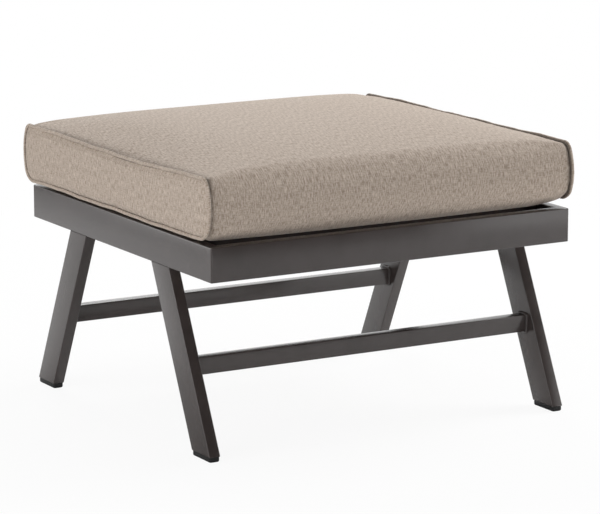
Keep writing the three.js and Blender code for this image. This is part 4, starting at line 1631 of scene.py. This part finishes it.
def capsule_template(name, radius, reach):
    """A short rod round Z with round ends."""
    straight = reach - radius
    angles = [math.pi / 2 * (i + CAPSULE_START) / (CAPSULE_RINGS - 1 + CAPSULE_START)
              for i in range(CAPSULE_RINGS)]
    end = [(radius * math.sin(angle), straight + radius * math.cos(angle)) for angle in angles]
    profile = [(width, -height) for width, height in end] + end[::-1]
    return new_object(name, *solid([turned_ring(*values, sides=ROD_SIDES) for values in profile]))


def zip_coil():
    coil = capsule_template("coil_template", COIL_RADIUS, COIL_REACH)
    reach = ZIP_HALF_LENGTH - STOP_LENGTH - COIL_RADIUS
    places = [(x, ZIP_FACE + COIL_LIFT, cushion_z + sign * COIL_MIDDLE)
              for row, sign in enumerate((-1, 1))
              for x in np.arange(-reach + row * COIL_PITCH / 2, reach, COIL_PITCH)]
    piece = copies("zip_coil", coil, places, (0, 0, 0), coil_nylon)
    stand_for(piece, "cushion", "zip_tape")


def zip_stop(side_name, side):
    half_y = (STOP_TOP + TAPE_BACK / 2) / 2
    middle_y = ZIP_FACE + STOP_TOP - half_y
    rings = []
    for share, narrowed in STOP_SECTIONS:
        x = side * (ZIP_HALF_LENGTH - STOP_LENGTH * share)
        outline = rounded_outline(STOP_HALF - narrowed, half_y - narrowed, STOP_ROUND)
        rings.append(np.array([(x, middle_y + b, cushion_z + a) for a, b in outline]))
    piece = new_object(f"zip_stop_{side_name}", *solid(rings), zip_enamel)
    sharpen(piece, 50)
    stand_for(piece, "cushion", "zip_metal")


zip_coil()
for side_name, side in SIDES.items():
    zip_stop(side_name, side)

# %% Stitches beside the zip
STITCH_PITCH = 0.0032
STITCH_REACH = 0.00125
STITCH_RADIUS = 0.00030
STITCH_ROW = 0.0150
STITCH_END = 0.296
OUTSIDE = 0.1


def on_cushion(x, z):
    """The point where a line from behind meets the cushion's rear face."""
    return cushion.ray_cast((x, ZIP_FACE + OUTSIDE, z), (0, -1, 0))[1]


def stitches():
    stitch = capsule_template("stitch_template", STITCH_RADIUS, STITCH_REACH)
    places = [on_cushion(x, cushion_z + sign * STITCH_ROW)
              for sign in (-1, 1) for x in np.arange(-STITCH_END, STITCH_END, STITCH_PITCH)]
    piece = copies("zip_stitches", stitch, places, (0, math.pi / 2, 0), thread)
    stand_for(piece, "cushion", "cover_fabric")


stitches()

# %% Slider and pull
SOFT_EDGE = 0.00035
SOFT_SEGMENTS = 3
WELD_DISTANCE = 0.000001
EDGE_ANGLE = math.radians(25)


def softened(node, name, body, slot, material):
    """The CAD piece's own shape as a clean mesh with small rounded edges."""
    piece = new_object(name, material=material)
    with edited(piece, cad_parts[node]) as work:
        bmesh.ops.remove_doubles(work, verts=work.verts, dist=WELD_DISTANCE)
        bmesh.ops.dissolve_limit(work, angle_limit=math.radians(1), verts=work.verts,
                                 edges=work.edges)
    edge = piece.modifiers.new("soft_edges", "BEVEL")
    edge.width, edge.segments = SOFT_EDGE, SOFT_SEGMENTS
    edge.limit_method, edge.angle_limit = "ANGLE", EDGE_ANGLE
    keep_result(piece)
    sharpen(piece, 35)
    stand_for(piece, body, slot, node)


softened("zip_slider", "zip_slider_body", "zip_slider", "zip_metal", zip_enamel)
softened("zip_pull", "zip_pull_plate", "zip_pull", "zip_metal", zip_enamel)
